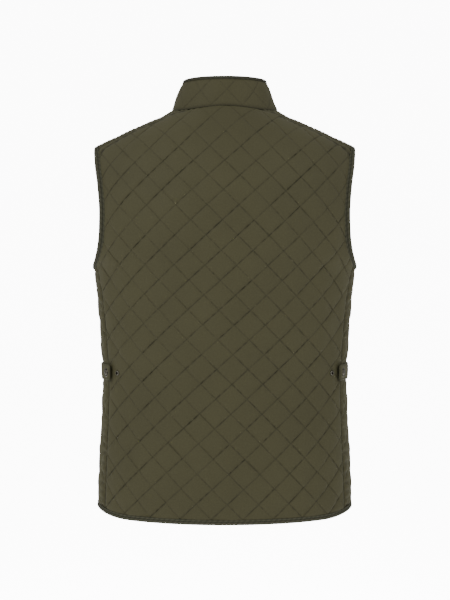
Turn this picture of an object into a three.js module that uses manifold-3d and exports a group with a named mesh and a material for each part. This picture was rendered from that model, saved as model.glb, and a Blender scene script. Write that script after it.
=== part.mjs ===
// A quilted vest, filled out as it is worn, with nobody in it.
// Millimetres, +Z up, the front towards -Y, the wearer's left on +X. The origin is at the shoulders.
import * as THREE from 'three'
import { mergeVertices } from 'three/addons/utils/BufferGeometryUtils.js'
import Module from 'manifold-3d'

const wasm = await Module()
wasm.setup()

// Cloth
const wall = 2 // thickness along a line of quilting
const quiltRise = 2.4 // a diamond's crown over its lines
const seamGap = 0.3
const seamFade = 13 // the quilting flattens over this distance from a seam or binding
const innerTexture = 0.04 // a ripple that keeps plain faces and straight edges bending with the form

// Quilting: two families of straight lines on the flat cloth, v = slope * u + start + n * pitch
const risingLines = { slope: 1.0, pitch: 48.2, start: 29.5 }
const fallingLines = { slope: -0.913, pitch: 44.85, start: 21.3 }
const crownInset = 0.27 // where the flat top of a diamond begins, as a share of its side
const plainWithin = 19 // diamonds as near as this to an edge have a single peak

// Body sections, height above the hem: half width, and depth behind and before the side line
const sections = [
  { height: 0, halfWidth: 206.5, back: 127, front: 126 },
  { height: 75, halfWidth: 204, back: 125, front: 124 },
  { height: 141, halfWidth: 200.5, back: 121, front: 122 },
  { height: 212, halfWidth: 198.5, back: 120, front: 120 },
  { height: 300, halfWidth: 203.5, back: 129, front: 121 },
  { height: 372, halfWidth: 210, back: 138, front: 121 },
  { height: 394, halfWidth: 215, back: 141, front: 120 },
  { height: 411, halfWidth: 223.5, back: 143, front: 118 },
  { height: 432, halfWidth: 230.5, back: 145, front: 115 },
  { height: 470, halfWidth: 235, back: 147, front: 112 },
]
const chest = sections.at(-1)
const archUnit = 150 // millimetres of level to a radian of the arch over the shoulders
const archFullness = 0.12 // squarer than an ellipse by this share

// Top of the shoulders, distance from the centre: height
const shoulderLine = [
  { across: 0, height: 670 },
  { across: 84, height: 651 },
  { across: 130, height: 627 },
  { across: 180, height: 604.5 },
  { across: 205, height: 592.5 },
  { across: 216, height: 586 },
  { across: 240, height: 566 },
]

// Finished armhole edge, height: distance from the centre behind, and how far the front is scooped in
const armholeEdge = [
  { height: 394, across: 214.6, scoop: 0 },
  { height: 408, across: 210.5, scoop: 1 },
  { height: 422, across: 207.5, scoop: 4 },
  { height: 442, across: 205, scoop: 8 },
  { height: 480, across: 203.8, scoop: 11 },
  { height: 520, across: 206, scoop: 9 },
  { height: 555, across: 211, scoop: 4 },
  { height: 590, across: 213.8, scoop: 0 },
]
const armholeFloor = armholeEdge[0].height

// Side seam, height: angle round the body from the centre back, in degrees
const sideSeam = [
  { height: 0, angle: 67.8 },
  { height: 212, angle: 69.2 },
  { height: 330, angle: 70.5 },
  { height: 380, angle: 73.5 },
  { height: 430, angle: 79 },
]

const shoulderSeamBehind = { neck: 27, tip: 17 } // the shoulder seam lies behind the top of the shoulder
const neckPlan = { halfWidth: 84, back: 72, front: 93 }
const originHeight = 617 // the middle of the shoulders, where the wearer carries it
const hem = { drop: 3.5, sideRise: 8.5 }
const lap = 18 // each front passes the centre by this much, the left one over the right
const lapLift = 6.2
const lapRamp = { start: 28, end: 78 }

const collarHeight = 47
const collarTop = { halfWidth: 67.5, back: 61.5, front: 80, height: 698, frontDrop: 45, bulge: 2 }
const collarCorner = 14
const collarSteps = 40

const binding = { width: 8, proud: 1.8 }
const collarBinding = { width: 5, proud: 1.5 }

const tab = { height: 224, width: 27.5, endAngle: 63.8, rootAngle: 99, thickness: 2.2, corner: 8 }
const tabSeat = 0.3 // the quilting is pressed down to this under a tab or a stud
const stud = { radius: 7.2, height: 3, fromTabEnd: 16 }
const spareStud = { radius: 3.6, height: 1.8, fromTabEnd: 13 }
const frontStuds = { count: 6, lowest: 60, spacing: 96 }

const colours = {
  cloth: new THREE.MeshStandardMaterial({ color: 0x4b4a32, roughness: 0.8, metalness: 0 }),
  binding: new THREE.MeshStandardMaterial({ color: 0x3f4130, roughness: 0.85, metalness: 0 }),
  stud: new THREE.MeshStandardMaterial({ color: 0x6a6650, roughness: 0.45, metalness: 0.6 }),
}

const smooth = (from, to, value) => {
  const share = THREE.MathUtils.clamp((value - from) / (to - from), 0, 1)
  return share * share * (3 - 2 * share)
}

// A smooth curve through one column of a table, level at both ends
function through(rows, at, column) {
  const slopes = rows.map((row, i) => {
    if (i === 0 || i === rows.length - 1) return 0
    return (rows[i + 1][column] - rows[i - 1][column]) / (rows[i + 1][at] - rows[i - 1][at])
  })
  return (value) => {
    if (value <= rows[0][at]) return rows[0][column]
    if (value >= rows.at(-1)[at]) return rows.at(-1)[column]
    const i = rows.findIndex((row) => row[at] > value) - 1
    const span = rows[i + 1][at] - rows[i][at]
    const t = (value - rows[i][at]) / span
    const h = 2 * t ** 3 - 3 * t ** 2
    return rows[i][column] * (h + 1) - rows[i + 1][column] * h
      + span * (slopes[i] * (t ** 3 - 2 * t ** 2 + t) + slopes[i + 1] * (t ** 3 - t ** 2))
  }
}

const halfWidthAt = through(sections, 'height', 'halfWidth')
const backAt = through(sections, 'height', 'back')
const frontAt = through(sections, 'height', 'front')
const shoulderAt = through(shoulderLine, 'across', 'height')
const armholeAt = through(armholeEdge, 'height', 'across')
const scoopAt = through(armholeEdge, 'height', 'scoop')
const sideSeamAt = through(sideSeam, 'height', 'angle')

// How far out the arch over the shoulders still is, from 1 at the chest to 0 at the top
const archDepth = (arch) => Math.cos(arch) * (1 + archFullness * Math.sin(arch) ** 2)

function archAt(depth) {
  let [low, high] = [0, Math.PI]
  for (let pass = 0; pass < 40; pass += 1) {
    const middle = (low + high) / 2
    if (archDepth(middle) > depth) low = middle
    else high = middle
  }
  return low
}

// The form. Angle 0 is the centre back, a right angle the side and two the centre front.
// Level is the height up to the chest, and above it the way round the arch over the shoulder.
function onForm(angle, level) {
  const height = Math.min(level, chest.height)
  const arch = Math.max(0, level - chest.height) / archUnit
  const depth = (backAt(height) + frontAt(height)) / 2
  const lean = (backAt(height) - frontAt(height)) / 2
  const x = halfWidthAt(height) * Math.sin(angle)
  const turn = Math.cos(angle) * archDepth(arch)
  const y = turn * (depth + lean * turn)
  const rise = Math.sin(arch) * (1 + archFullness * Math.cos(arch) ** 2)
  return new THREE.Vector3(x, y, height + (shoulderAt(Math.abs(x)) - chest.height) * rise)
}

function slopesOn(angle, level) {
  const reach = 0.5
  const swing = reach / 200
  const round = onForm(angle + swing, level).sub(onForm(angle - swing, level)).divideScalar(2 * swing)
  const climb = onForm(angle, level + reach).sub(onForm(angle, level - reach)).divideScalar(2 * reach)
  const normal = climb.clone().cross(round).normalize()
  return { round, climb, normal }
}

// Where the arch over the shoulders passes a place in the plan, from behind or from the front
function overShoulder(x, y, fromFront) {
  const depth = (chest.back + chest.front) / 2
  const lean = (chest.back - chest.front) / 2
  const turn = (-depth + Math.sqrt(depth ** 2 + 4 * lean * y)) / (2 * lean)
  const side = Math.asin(x / chest.halfWidth)
  const angle = fromFront ? Math.PI - side : side
  return { angle, level: chest.height + archUnit * archAt(turn / Math.cos(angle)) }
}

// The angle and level nearest to a point that lies close to the form
function nearest(angle, level, target) {
  for (let pass = 0; pass < 4; pass += 1) {
    const { round, climb } = slopesOn(angle, level)
    const miss = target.clone().sub(onForm(angle, level))
    const [a, b, c] = [round.dot(round), round.dot(climb), climb.dot(climb)]
    const [p, q] = [miss.dot(round), miss.dot(climb)]
    const scale = a * c - b * b
    angle += (p * c - q * b) / scale
    level += (q * a - p * b) / scale
  }
  return { angle, level }
}

// Distance along the cloth round the body, from the centre back or the centre front
function girth(from, to, height) {
  const steps = 16
  const depth = (backAt(height) + frontAt(height)) / 2
  const lean = (backAt(height) - frontAt(height)) / 2
  const halfWidth = halfWidthAt(height)
  const speed = (angle) => Math.hypot(halfWidth * Math.cos(angle),
    Math.sin(angle) * (depth + 2 * lean * Math.cos(angle)))
  let total = speed(from) + speed(to)
  for (let i = 1; i < steps; i += 1) {
    total += speed(from + ((to - from) * i) / steps) * (i % 2 ? 4 : 2)
  }
  return { length: (total * (to - from)) / steps / 3, speed: speed(to) }
}

// Distance along the cloth up from the hem line, at steps of angle and level
const climbGrid = { angles: 60, step: 10, lowest: -40, highest: chest.height + archUnit * 2.4 }
const climbColumns = Array.from({ length: climbGrid.angles + 1 }, (_, column) => {
  const angle = (Math.PI * column) / climbGrid.angles
  const rows = [climbGrid.lowest]
  for (let level = climbGrid.lowest; level < climbGrid.highest; level += climbGrid.step) {
    const stretch = onForm(angle, level).distanceTo(onForm(angle, level + climbGrid.step))
    rows.push(rows.at(-1) + stretch)
  }
  return rows
})

function climbRow(angle, row) {
  let folded = Math.abs(angle)
  if (folded > Math.PI) folded = 2 * Math.PI - folded
  const place = (folded / Math.PI) * climbGrid.angles
  const column = Math.min(Math.floor(place), climbGrid.angles - 1)
  return THREE.MathUtils.lerp(climbColumns[column][row], climbColumns[column + 1][row], place - column)
}

function climbTo(angle, level) {
  const place = (level - climbGrid.lowest) / climbGrid.step
  const row = Math.floor(place)
  return THREE.MathUtils.lerp(climbRow(angle, row), climbRow(angle, row + 1), place - row)
}

function levelAt(angle, climb) {
  let low = 0
  let high = climbColumns[0].length - 1
  while (high - low > 1) {
    const middle = (low + high) >> 1
    if (climbRow(angle, middle) > climb) high = middle
    else low = middle
  }
  const [below, above] = [climbRow(angle, low), climbRow(angle, high)]
  return climbGrid.lowest + climbGrid.step * (low + (climb - below) / (above - below))
}

// Flat cloth: u runs round the body from a centre line, v up from the hem line
const backCloth = { start: 0, turn: 1, lift: () => 0 }
const frontCloth = { start: Math.PI, turn: -1, lift: () => 0 }
const lappedCloth = { ...frontCloth, lift: (u) => lapLift * (1 - smooth(lapRamp.start, lapRamp.end, u)) }

function toFlat(cloth, { angle, level }) {
  const round = girth(cloth.start, angle, Math.min(level, chest.height)).length * cloth.turn
  return new THREE.Vector2(round, climbTo(angle, level))
}

function fromFlat(cloth, u, v) {
  let level = v
  let angle = cloth.start + (cloth.turn * u) / 180
  for (let pass = 0; pass < 6; pass += 1) {
    const height = Math.min(level, chest.height)
    for (let step = 0; step < 2; step += 1) {
      const { length, speed } = girth(cloth.start, angle, height)
      angle += (cloth.turn * u - length) / speed
    }
    level = levelAt(angle, v)
  }
  return { angle, level }
}

function place(cloth, u, v, out) {
  const { angle, level } = fromFlat(cloth, u, v)
  const { normal } = slopesOn(angle, level)
  return onForm(angle, level).addScaledVector(normal, out + cloth.lift(u))
}

// Solids in flat cloth, as closed meshes of u, v and out
function solidOf(points, faces) {
  const mesh = new wasm.Mesh({
    numProp: 3,
    vertProperties: new Float32Array(points.flat()),
    triVerts: new Uint32Array(faces.flat()),
  })
  return new wasm.Manifold(mesh)
}

function quiltedSlab(bounds, edges) {
  const points = []
  const faces = []
  const seen = new Map()
  const slopes = risingLines.slope - fallingLines.slope
  const flatAt = (i, j) => {
    const rising = risingLines.start + risingLines.pitch * i
    const u = (fallingLines.start + fallingLines.pitch * j - rising) / slopes
    return [u, rising + risingLines.slope * u]
  }
  const vertex = (i, j, out, side = 'outer') => {
    const name = `${i} ${j} ${side}`
    if (!seen.has(name)) {
      seen.set(name, points.length)
      points.push([...flatAt(i, j), out])
    }
    return seen.get(name)
  }
  const inner = (i, j) => vertex(i, j, -wall + innerTexture * Math.abs((i * 7 + j * 11) % 5), 'inner')
  const inside = ([u, v]) => u > bounds.uMin && u < bounds.uMax && v > bounds.vMin && v < bounds.vMax
  const cells = new Set()
  const reach = Math.ceil((bounds.vMax + bounds.uMax - bounds.uMin) / fallingLines.pitch) + 4
  for (let i = -reach; i <= reach; i += 1) {
    for (let j = -reach; j <= reach; j += 1) {
      if (inside(flatAt(i + 0.5, j + 0.5))) cells.add(`${i} ${j}`)
    }
  }
  for (const cell of cells) {
    const [i, j] = cell.split(' ').map(Number)
    const corners = [[i, j], [i, j + 1], [i + 1, j + 1], [i + 1, j]]
    const nearEdge = distanceTo(edges, ...flatAt(i + 0.5, j + 0.5)) < plainWithin
    const inset = nearEdge ? 1 : 2 * crownInset
    const tops = corners.map(([p, q]) => vertex(
      THREE.MathUtils.lerp(p, i + 0.5, inset), THREE.MathUtils.lerp(q, j + 0.5, inset), quiltRise))
    corners.forEach(([p, q], side) => {
      const [r, s] = corners[(side + 1) % 4]
      const start = vertex(p, q, 0)
      const end = vertex(r, s, 0)
      const [top, next] = [tops[side], tops[(side + 1) % 4]]
      if (nearEdge) faces.push([start, end, top])
      else faces.push([start, next, top], [start, end, next])
      const beyond = [i + (p + r - 2 * i - 1), j + (q + s - 2 * j - 1)].join(' ')
      if (!cells.has(beyond)) {
        const [under, underEnd] = [inner(p, q), inner(r, s)]
        faces.push([start, under, end], [end, under, underEnd])
      }
    })
    if (!nearEdge) faces.push([tops[0], tops[1], tops[2]], [tops[0], tops[2], tops[3]])
    const [a, b, c, d] = corners.map(([p, q]) => inner(p, q))
    faces.push([a, c, b], [a, d, c])
  }
  return solidOf(points, faces)
}

// A plain slab over a rectangle of flat cloth, in steps small enough to bend with the form
function plainSlab(bounds, low, high, step = 9) {
  const columns = Math.ceil((bounds.uMax - bounds.uMin) / step)
  const rows = Math.ceil((bounds.vMax - bounds.vMin) / step)
  const points = []
  const faces = []
  const index = (i, j, side) => (j * (columns + 1) + i) * 2 + side
  for (let j = 0; j <= rows; j += 1) {
    for (let i = 0; i <= columns; i += 1) {
      const u = THREE.MathUtils.lerp(bounds.uMin, bounds.uMax, i / columns)
      const v = THREE.MathUtils.lerp(bounds.vMin, bounds.vMax, j / rows)
      const ripple = innerTexture * ((i * 7 + j * 11) % 5)
      points.push([u, v, low + ripple], [u, v, high + ripple])
    }
  }
  for (let j = 0; j < rows; j += 1) {
    for (let i = 0; i < columns; i += 1) {
      const [a, b, c, d] = [index(i, j, 0), index(i + 1, j, 0), index(i + 1, j + 1, 0), index(i, j + 1, 0)]
      faces.push([a, c, b], [a, d, c], [a + 1, b + 1, c + 1], [a + 1, c + 1, d + 1])
    }
  }
  const rim = []
  for (let i = 0; i < columns; i += 1) rim.push([index(i, 0, 0), index(i + 1, 0, 0)])
  for (let j = 0; j < rows; j += 1) rim.push([index(columns, j, 0), index(columns, j + 1, 0)])
  for (let i = columns; i > 0; i -= 1) rim.push([index(i, rows, 0), index(i - 1, rows, 0)])
  for (let j = rows; j > 0; j -= 1) rim.push([index(0, j, 0), index(0, j - 1, 0)])
  for (const [from, to] of rim) faces.push([from, to, to + 1], [from, to + 1, from + 1])
  return solidOf(points, faces)
}

function prism(outline, low = -20, high = 30) {
  const geometry = new THREE.ExtrudeGeometry(new THREE.Shape(outline), { depth: high - low, bevelEnabled: false })
  geometry.translate(0, 0, low)
  geometry.deleteAttribute('normal')
  geometry.deleteAttribute('uv')
  const merged = mergeVertices(geometry, 1e-4)
  const mesh = new wasm.Mesh({
    numProp: 3,
    vertProperties: new Float32Array(merged.attributes.position.array),
    triVerts: new Uint32Array(merged.index.array),
  })
  return new wasm.Manifold(mesh)
}

function ringOutline(u, v, radius, sides = 12) {
  return Array.from({ length: sides }, (_, i) => new THREE.Vector2(
    u + radius * Math.cos((2 * Math.PI * i) / sides), v + radius * Math.sin((2 * Math.PI * i) / sides)))
}

function distanceTo(outlines, u, v) {
  const point = new THREE.Vector2(u, v)
  const along = new THREE.Vector2()
  const reach = new THREE.Vector2()
  let least = Infinity
  for (const outline of outlines) {
    for (let i = 1; i < outline.length; i += 1) {
      along.subVectors(outline[i], outline[i - 1])
      reach.subVectors(point, outline[i - 1])
      const share = THREE.MathUtils.clamp(reach.dot(along) / along.lengthSq(), 0, 1)
      least = Math.min(least, reach.addScaledVector(along, -share).length())
    }
  }
  return least
}

// A flat solid laid on the form: what stands proud of the cloth fades out towards its edges
function laidOn(solid, placing, edges = [], fade = seamFade) {
  const mesh = solid.getMesh()
  const positions = new Float32Array(mesh.numVert * 3)
  for (let i = 0; i < mesh.numVert; i += 1) {
    const [u, v, out] = mesh.vertProperties.slice(i * mesh.numProp, i * mesh.numProp + 3)
    const press = edges.length && out > 0 ? smooth(0, fade, distanceTo(edges, u, v)) : 1
    placing(u, v, out * press).toArray(positions, i * 3)
  }
  const geometry = new THREE.BufferGeometry()
  geometry.setAttribute('position', new THREE.BufferAttribute(positions, 3))
  geometry.setIndex(new THREE.BufferAttribute(new Uint32Array(mesh.triVerts), 1))
  return facingOut(geometry)
}

function turnedOver(geometry) {
  const order = geometry.index.array
  for (let i = 0; i < order.length; i += 3) [order[i], order[i + 1]] = [order[i + 1], order[i]]
  return geometry
}

const facingOut = (geometry) => (volumeOf(geometry) < 0 ? turnedOver(geometry) : geometry)

function mirrored(geometry) {
  const copy = geometry.clone()
  copy.scale(-1, 1, 1)
  return turnedOver(copy)
}

// A folded binding along a finished edge: each stop has its point, the cloth's normal and the way in
function bindingAlong(stops, { width, proud }, closed = false) {
  const section = [
    [0, -wall / 2], [1.2, proud * 0.8], [width * 0.6, proud], [width, proud * 0.5],
    [width, -wall - proud * 0.2], [width * 0.4, -wall - proud * 0.5],
  ]
  const points = stops.flatMap(({ point, normal, inward }) => section.map(([along, out]) => point.clone()
    .addScaledVector(inward, along).addScaledVector(normal, out)))
  const faces = []
  const sides = section.length
  const rings = closed ? stops.length : stops.length - 1
  for (let i = 0; i < rings; i += 1) {
    for (let k = 0; k < sides; k += 1) {
      const next = (i + 1) % stops.length
      const [a, b] = [i * sides + k, i * sides + ((k + 1) % sides)]
      const [c, d] = [next * sides + ((k + 1) % sides), next * sides + k]
      faces.push(a, b, c, a, c, d)
    }
  }
  if (!closed) {
    const last = (stops.length - 1) * sides
    for (let k = 1; k < sides - 1; k += 1) faces.push(0, k + 1, k, last, last + k, last + k + 1)
  }
  const geometry = new THREE.BufferGeometry().setFromPoints(points)
  geometry.setIndex(faces)
  return facingOut(geometry)
}

function volumeOf(geometry) {
  const [a, b, c] = [new THREE.Vector3(), new THREE.Vector3(), new THREE.Vector3()]
  const { position } = geometry.attributes
  let volume = 0
  for (let i = 0; i < geometry.index.count; i += 3) {
    a.fromBufferAttribute(position, geometry.index.getX(i))
    b.fromBufferAttribute(position, geometry.index.getX(i + 1))
    c.fromBufferAttribute(position, geometry.index.getX(i + 2))
    volume += a.dot(b.cross(c)) / 6
  }
  return volume
}

// The way into the cloth from an edge, at each stop of a path
function withInward(path, closed, towards) {
  return path.map((stop, i) => {
    const last = path.length - 1
    const before = path[closed ? (i + last) % path.length : Math.max(0, i - 1)].point
    const after = path[closed ? (i + 1) % path.length : Math.min(last, i + 1)].point
    const tangent = after.clone().sub(before).normalize()
    const inward = stop.normal.clone().cross(tangent).normalize().multiplyScalar(towards)
    return { ...stop, inward }
  })
}

const stopAt = (angle, level, lift = 0) => {
  const { normal } = slopesOn(angle, level)
  return { angle, level, point: onForm(angle, level).addScaledVector(normal, lift), normal }
}

// The armhole's finished edge, all round, from its lowest point up the back and down the front
function armholeLoop() {
  const steps = 12
  const acrossAt = (height, front) => armholeAt(height) - (front ? scoopAt(height) : 0)
  const half = (front) => {
    const highSide = Math.asin(acrossAt(chest.height, front) / chest.halfWidth)
    const lower = Array.from({ length: steps }, (_, i) => {
      const side = THREE.MathUtils.lerp(Math.PI / 2, highSide, i / steps)
      let [low, high] = [armholeFloor, chest.height]
      for (let pass = 0; pass < 30; pass += 1) {
        const middle = (low + high) / 2
        if (acrossAt(middle, front) > halfWidthAt(middle) * Math.sin(side)) low = middle
        else high = middle
      }
      return { side, level: i === 0 ? armholeFloor : low }
    })
    const upper = Array.from({ length: steps }, (_, i) => {
      const arch = ((Math.PI / 2) * i) / steps
      let across = acrossAt(chest.height, front)
      for (let pass = 0; pass < 12; pass += 1) {
        across = acrossAt(chest.height + (shoulderAt(across) - chest.height) * Math.sin(arch), front)
      }
      return { side: Math.asin(across / chest.halfWidth), level: chest.height + archUnit * arch }
    })
    return [...lower, ...upper]
  }
  const across = armholeAt(armholeEdge.at(-1).height)
  const top = { side: Math.asin(across / chest.halfWidth), level: chest.height + (archUnit * Math.PI) / 2 }
  const back = half(false).map(({ side, level }) => ({ angle: side, level }))
  const front = half(true).slice(1).reverse().map(({ side, level }) => ({ angle: Math.PI - side, level }))
  const loop = [...back, { angle: top.side, level: top.level }, ...front]
  return withInward(loop.map(({ angle, level }) => stopAt(angle, level)), true, -1)
}

// A stop of the armhole moved in to where the cloth ends, on the back's or the front's flat cloth
function armholeCut(loop, cloth) {
  const inset = binding.width + seamGap
  const front = cloth !== backCloth
  const behind = loop.slice(-4).concat(loop.slice(0, 25))
  const before = loop.slice(20).concat(loop.slice(0, 5))
  return (front ? before : behind).map((stop) => {
    let { angle } = stop
    let { level } = stop
    if (front && level > chest.height && angle < Math.PI / 2) {
      angle = Math.PI - angle
      level = 2 * (chest.height + (archUnit * Math.PI) / 2) - level
    }
    const target = stop.point.clone().addScaledVector(stop.inward, inset)
    return toFlat(cloth, nearest(angle, level, target))
  })
}

function hemLevel(angle) {
  const turned = THREE.MathUtils.radToDeg(Math.abs(angle))
  return -hem.drop + hem.sideRise * smooth(48, 88, turned) * (1 - smooth(92, 132, turned))
}

const steps = (count, from, to) => Array.from({ length: count + 1 }, (_, i) => from + ((to - from) * i) / count)

function hemCut(cloth, low, high) {
  return steps(14, low, high).map((angle) => {
    const flat = toFlat(cloth, { angle, level: hemLevel(angle) })
    return flat.setY(flat.y + binding.width + seamGap)
  })
}

function neckPlace(turn, fromFront) {
  const depth = (neckPlan.back + neckPlan.front) / 2
  const lean = (neckPlan.back - neckPlan.front) / 2
  const x = neckPlan.halfWidth * Math.sin(turn)
  const y = Math.cos(turn) * (depth + lean * Math.cos(turn))
  return overShoulder(x, y, fromFront)
}

// Closed outline that takes away everything past a cut, on the side of a far point
const beyondCut = (cut, ...far) => prism([...cut, ...far.map(([u, v]) => new THREE.Vector2(u, v))])

const degrees = THREE.MathUtils.degToRad
const farOut = 900

const belowHem = (cut) => [[farOut, cut.at(-1).y], [farOut, -farOut], [-farOut, -farOut], [-farOut, cut[0].y]]

function shoulderCut(cloth, gapSide) {
  return steps(16, 60, 232).map((across) => {
    const share = (across - neckPlan.halfWidth) / (armholeEdge.at(-1).across - neckPlan.halfWidth)
    const behind = THREE.MathUtils.lerp(shoulderSeamBehind.neck, shoulderSeamBehind.tip, share)
    const flat = toFlat(cloth, overShoulder(across, behind, cloth !== backCloth))
    return flat.setY(flat.y - gapSide * seamGap / 2)
  })
}

function sideCut(cloth) {
  return steps(44, -40, 430).map((height) => {
    const flat = toFlat(cloth, { angle: degrees(sideSeamAt(height)), level: height })
    return flat.setX(flat.x - seamGap / 2)
  })
}

const flip = (outline) => outline.map(({ x, y }) => new THREE.Vector2(-x, y)).reverse()

function seatFor(cloth, angleFrom, angleTo) {
  const margin = 1.2
  const across = [angleFrom, angleTo].map((angle) => toFlat(cloth, { angle: degrees(angle), level: tab.height }).x)
  const middle = climbTo(degrees(angleFrom), tab.height)
  const bounds = {
    uMin: Math.min(...across) - margin,
    uMax: Math.max(...across) + margin,
    vMin: middle - tab.width / 2 - margin,
    vMax: middle + tab.width / 2 + margin,
  }
  return plainSlab(bounds, tabSeat, 20)
}

// Panels
const armhole = armholeLoop()

function backPanel() {
  const arm = armholeCut(armhole, backCloth)
  const shoulder = shoulderCut(backCloth, 1)
  const side = sideCut(backCloth)
  const neck = steps(16, -2, 2).map((turn) => {
    const flat = toFlat(backCloth, neckPlace(Math.abs(turn), false))
    return flat.setX(flat.x * Math.sign(turn || 1))
  })
  const low = hemCut(backCloth, -degrees(85), degrees(85))
  const edges = [arm, shoulder, side, neck, low, flip(arm), flip(shoulder), flip(side)]
  let cloth = quiltedSlab({ uMin: -320, uMax: 320, vMin: -30, vMax: 760 }, edges)
  const halves = [
    beyondCut(arm, [farOut, arm.at(-1).y], [farOut, arm[0].y]),
    beyondCut(shoulder, [farOut, shoulder.at(-1).y], [farOut, farOut], [shoulder[0].x, farOut]),
    beyondCut(side, [farOut, side.at(-1).y], [farOut, side[0].y]),
    seatFor(backCloth, tab.endAngle, 82),
    prism(ringOutline(...spareStudFlat().toArray(), spareStud.radius + 1), tabSeat),
  ]
  for (const cutter of halves) cloth = cloth.subtract(cutter).subtract(cutter.mirror([1, 0, 0]))
  cloth = cloth.subtract(beyondCut(neck, [neck.at(-1).x, farOut], [neck[0].x, farOut]))
  cloth = cloth.subtract(beyondCut(low, ...belowHem(low)))
  return laidOn(cloth, (u, v, out) => place(backCloth, u, v, out), edges)
}

function frontPanel(lapped) {
  const cloth = lapped ? lappedCloth : frontCloth
  const arm = armholeCut(armhole, cloth)
  const shoulder = shoulderCut(cloth, 1)
  const side = sideCut(cloth)
  const neck = steps(14, Math.PI + 0.4, 1.1).map((turn) => {
    const flat = toFlat(cloth, neckPlace(turn > Math.PI ? 2 * Math.PI - turn : turn, true))
    return flat.setX(turn > Math.PI ? -flat.x : flat.x)
  })
  const low = hemCut(cloth, Math.PI + 0.25, degrees(58))
  const inner = -lap + binding.width + seamGap
  const edge = [new THREE.Vector2(inner, -farOut), new THREE.Vector2(inner, farOut)]
  const edges = [arm, shoulder, side, neck, low, edge]
  let solid = quiltedSlab({ uMin: -45, uMax: 345, vMin: -30, vMax: 800 }, edges)
  const cutters = [
    beyondCut(arm, [farOut, arm.at(-1).y], [farOut, arm[0].y]),
    beyondCut(shoulder, [farOut, shoulder.at(-1).y], [farOut, farOut], [shoulder[0].x, farOut]),
    beyondCut(side, [farOut, side.at(-1).y], [farOut, side[0].y]),
    beyondCut(neck, [neck.at(-1).x, farOut], [neck[0].x, farOut]),
    beyondCut(low, ...belowHem(low)),
    beyondCut(edge, [-farOut, farOut], [-farOut, -farOut]),
    seatFor(cloth, 60, tab.rootAngle),
  ]
  if (lapped) {
    for (const v of frontStudHeights()) cutters.push(prism(ringOutline(0, v, stud.radius + 1), tabSeat))
  }
  for (const cutter of cutters) solid = solid.subtract(cutter)
  return laidOn(solid, (u, v, out) => place(cloth, u, v, out), edges)
}

function spareStudFlat() {
  const end = toFlat(backCloth, { angle: degrees(tab.endAngle), level: tab.height })
  return end.setX(end.x - spareStud.fromTabEnd)
}

function frontStudHeights() {
  return Array.from({ length: frontStuds.count }, (_, i) => frontStuds.lowest + frontStuds.spacing * i)
}

// Collar: turn 0 is the centre back and half a turn the centre front, positive on the wearer's left
function neckStop(turn) {
  const folded = Math.abs(turn) > Math.PI ? 2 * Math.PI - Math.abs(turn) : Math.abs(turn)
  const { angle, level } = neckPlace(folded, folded > Math.PI / 2)
  const fromFront = toFlat(frontCloth, { angle, level }).x * (turn > Math.PI ? -1 : 1)
  const lift = turn > Math.PI / 2 ? lappedCloth.lift(fromFront) : 0
  const stop = stopAt(angle, level)
  const side = Math.sin(turn) < 0 ? -1 : 1
  stop.point.x *= side
  stop.normal.x *= side
  return { ...stop, lift: stop.normal.clone().multiplyScalar(lift) }
}

function collarForm(turn, share) {
  const { point, lift } = neckStop(turn)
  const depth = (collarTop.back + collarTop.front) / 2
  const lean = (collarTop.back - collarTop.front) / 2
  const [across, behind] = [Math.sin(turn), Math.cos(turn)]
  const drop = collarTop.frontDrop * smooth(-0.1, 1.1, -behind)
  const top = new THREE.Vector3(
    collarTop.halfWidth * across, behind * (depth + lean * behind), collarTop.height - drop)
  const outward = new THREE.Vector3(across, behind, 0).multiplyScalar(collarTop.bulge * Math.sin(Math.PI * share))
  return point.clone().lerp(top, share).add(outward).add(lift)
}

const neckTurns = steps(144, 0, Math.PI + 0.5)
const neckLengths = neckTurns.reduce((lengths, turn, i) => {
  if (i === 0) return [0]
  const from = neckStop(neckTurns[i - 1]).point
  return [...lengths, lengths.at(-1) + neckStop(turn).point.distanceTo(from)]
}, [])

function neckTurnAt(u) {
  const i = Math.max(1, neckLengths.findIndex((length) => length >= Math.abs(u)))
  const share = (Math.abs(u) - neckLengths[i - 1]) / (neckLengths[i] - neckLengths[i - 1])
  return Math.sign(u) * THREE.MathUtils.lerp(neckTurns[i - 1], neckTurns[i], share)
}

function collarStop(u, v) {
  const turn = neckTurnAt(u)
  const share = v / collarHeight
  const round = collarForm(turn + 0.01, share).sub(collarForm(turn - 0.01, share))
  const climb = collarForm(turn, share + 0.01).sub(collarForm(turn, share - 0.01))
  return { point: collarForm(turn, share), normal: climb.cross(round).normalize() }
}

const neckHalf = neckLengths[neckTurns.findIndex((turn) => turn >= Math.PI)]
const collarEnd = neckHalf + lap
const collarFoot = 0.8 // clear of the panels' neck edges

// The collar's edge from its right end round the top to its left end, so far in from the finished edge
function collarEdge(inset, stepsAlong) {
  const radius = collarCorner - inset
  const [end, top] = [collarEnd - inset, collarHeight - inset]
  const corner = (side) => steps(4, 0, Math.PI / 2).map((turn) => new THREE.Vector2(
    side * (end - radius + radius * Math.cos(turn)), top - radius + radius * Math.sin(turn)))
  const along = steps(stepsAlong, -end + radius, end - radius).slice(1, -1).map((u, i) => new THREE.Vector2(
    u, top + innerTexture * (i % 2)))
  const risers = [0, 0.5].map((share) => THREE.MathUtils.lerp(collarFoot, top - radius, share))
  return [
    ...risers.map((v) => new THREE.Vector2(-end, v)), ...corner(-1), ...along,
    ...corner(1).reverse(), ...risers.reverse().map((v) => new THREE.Vector2(end, v)),
  ]
}

const collarStudFlat = [neckHalf, collarHeight * 0.5]

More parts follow.
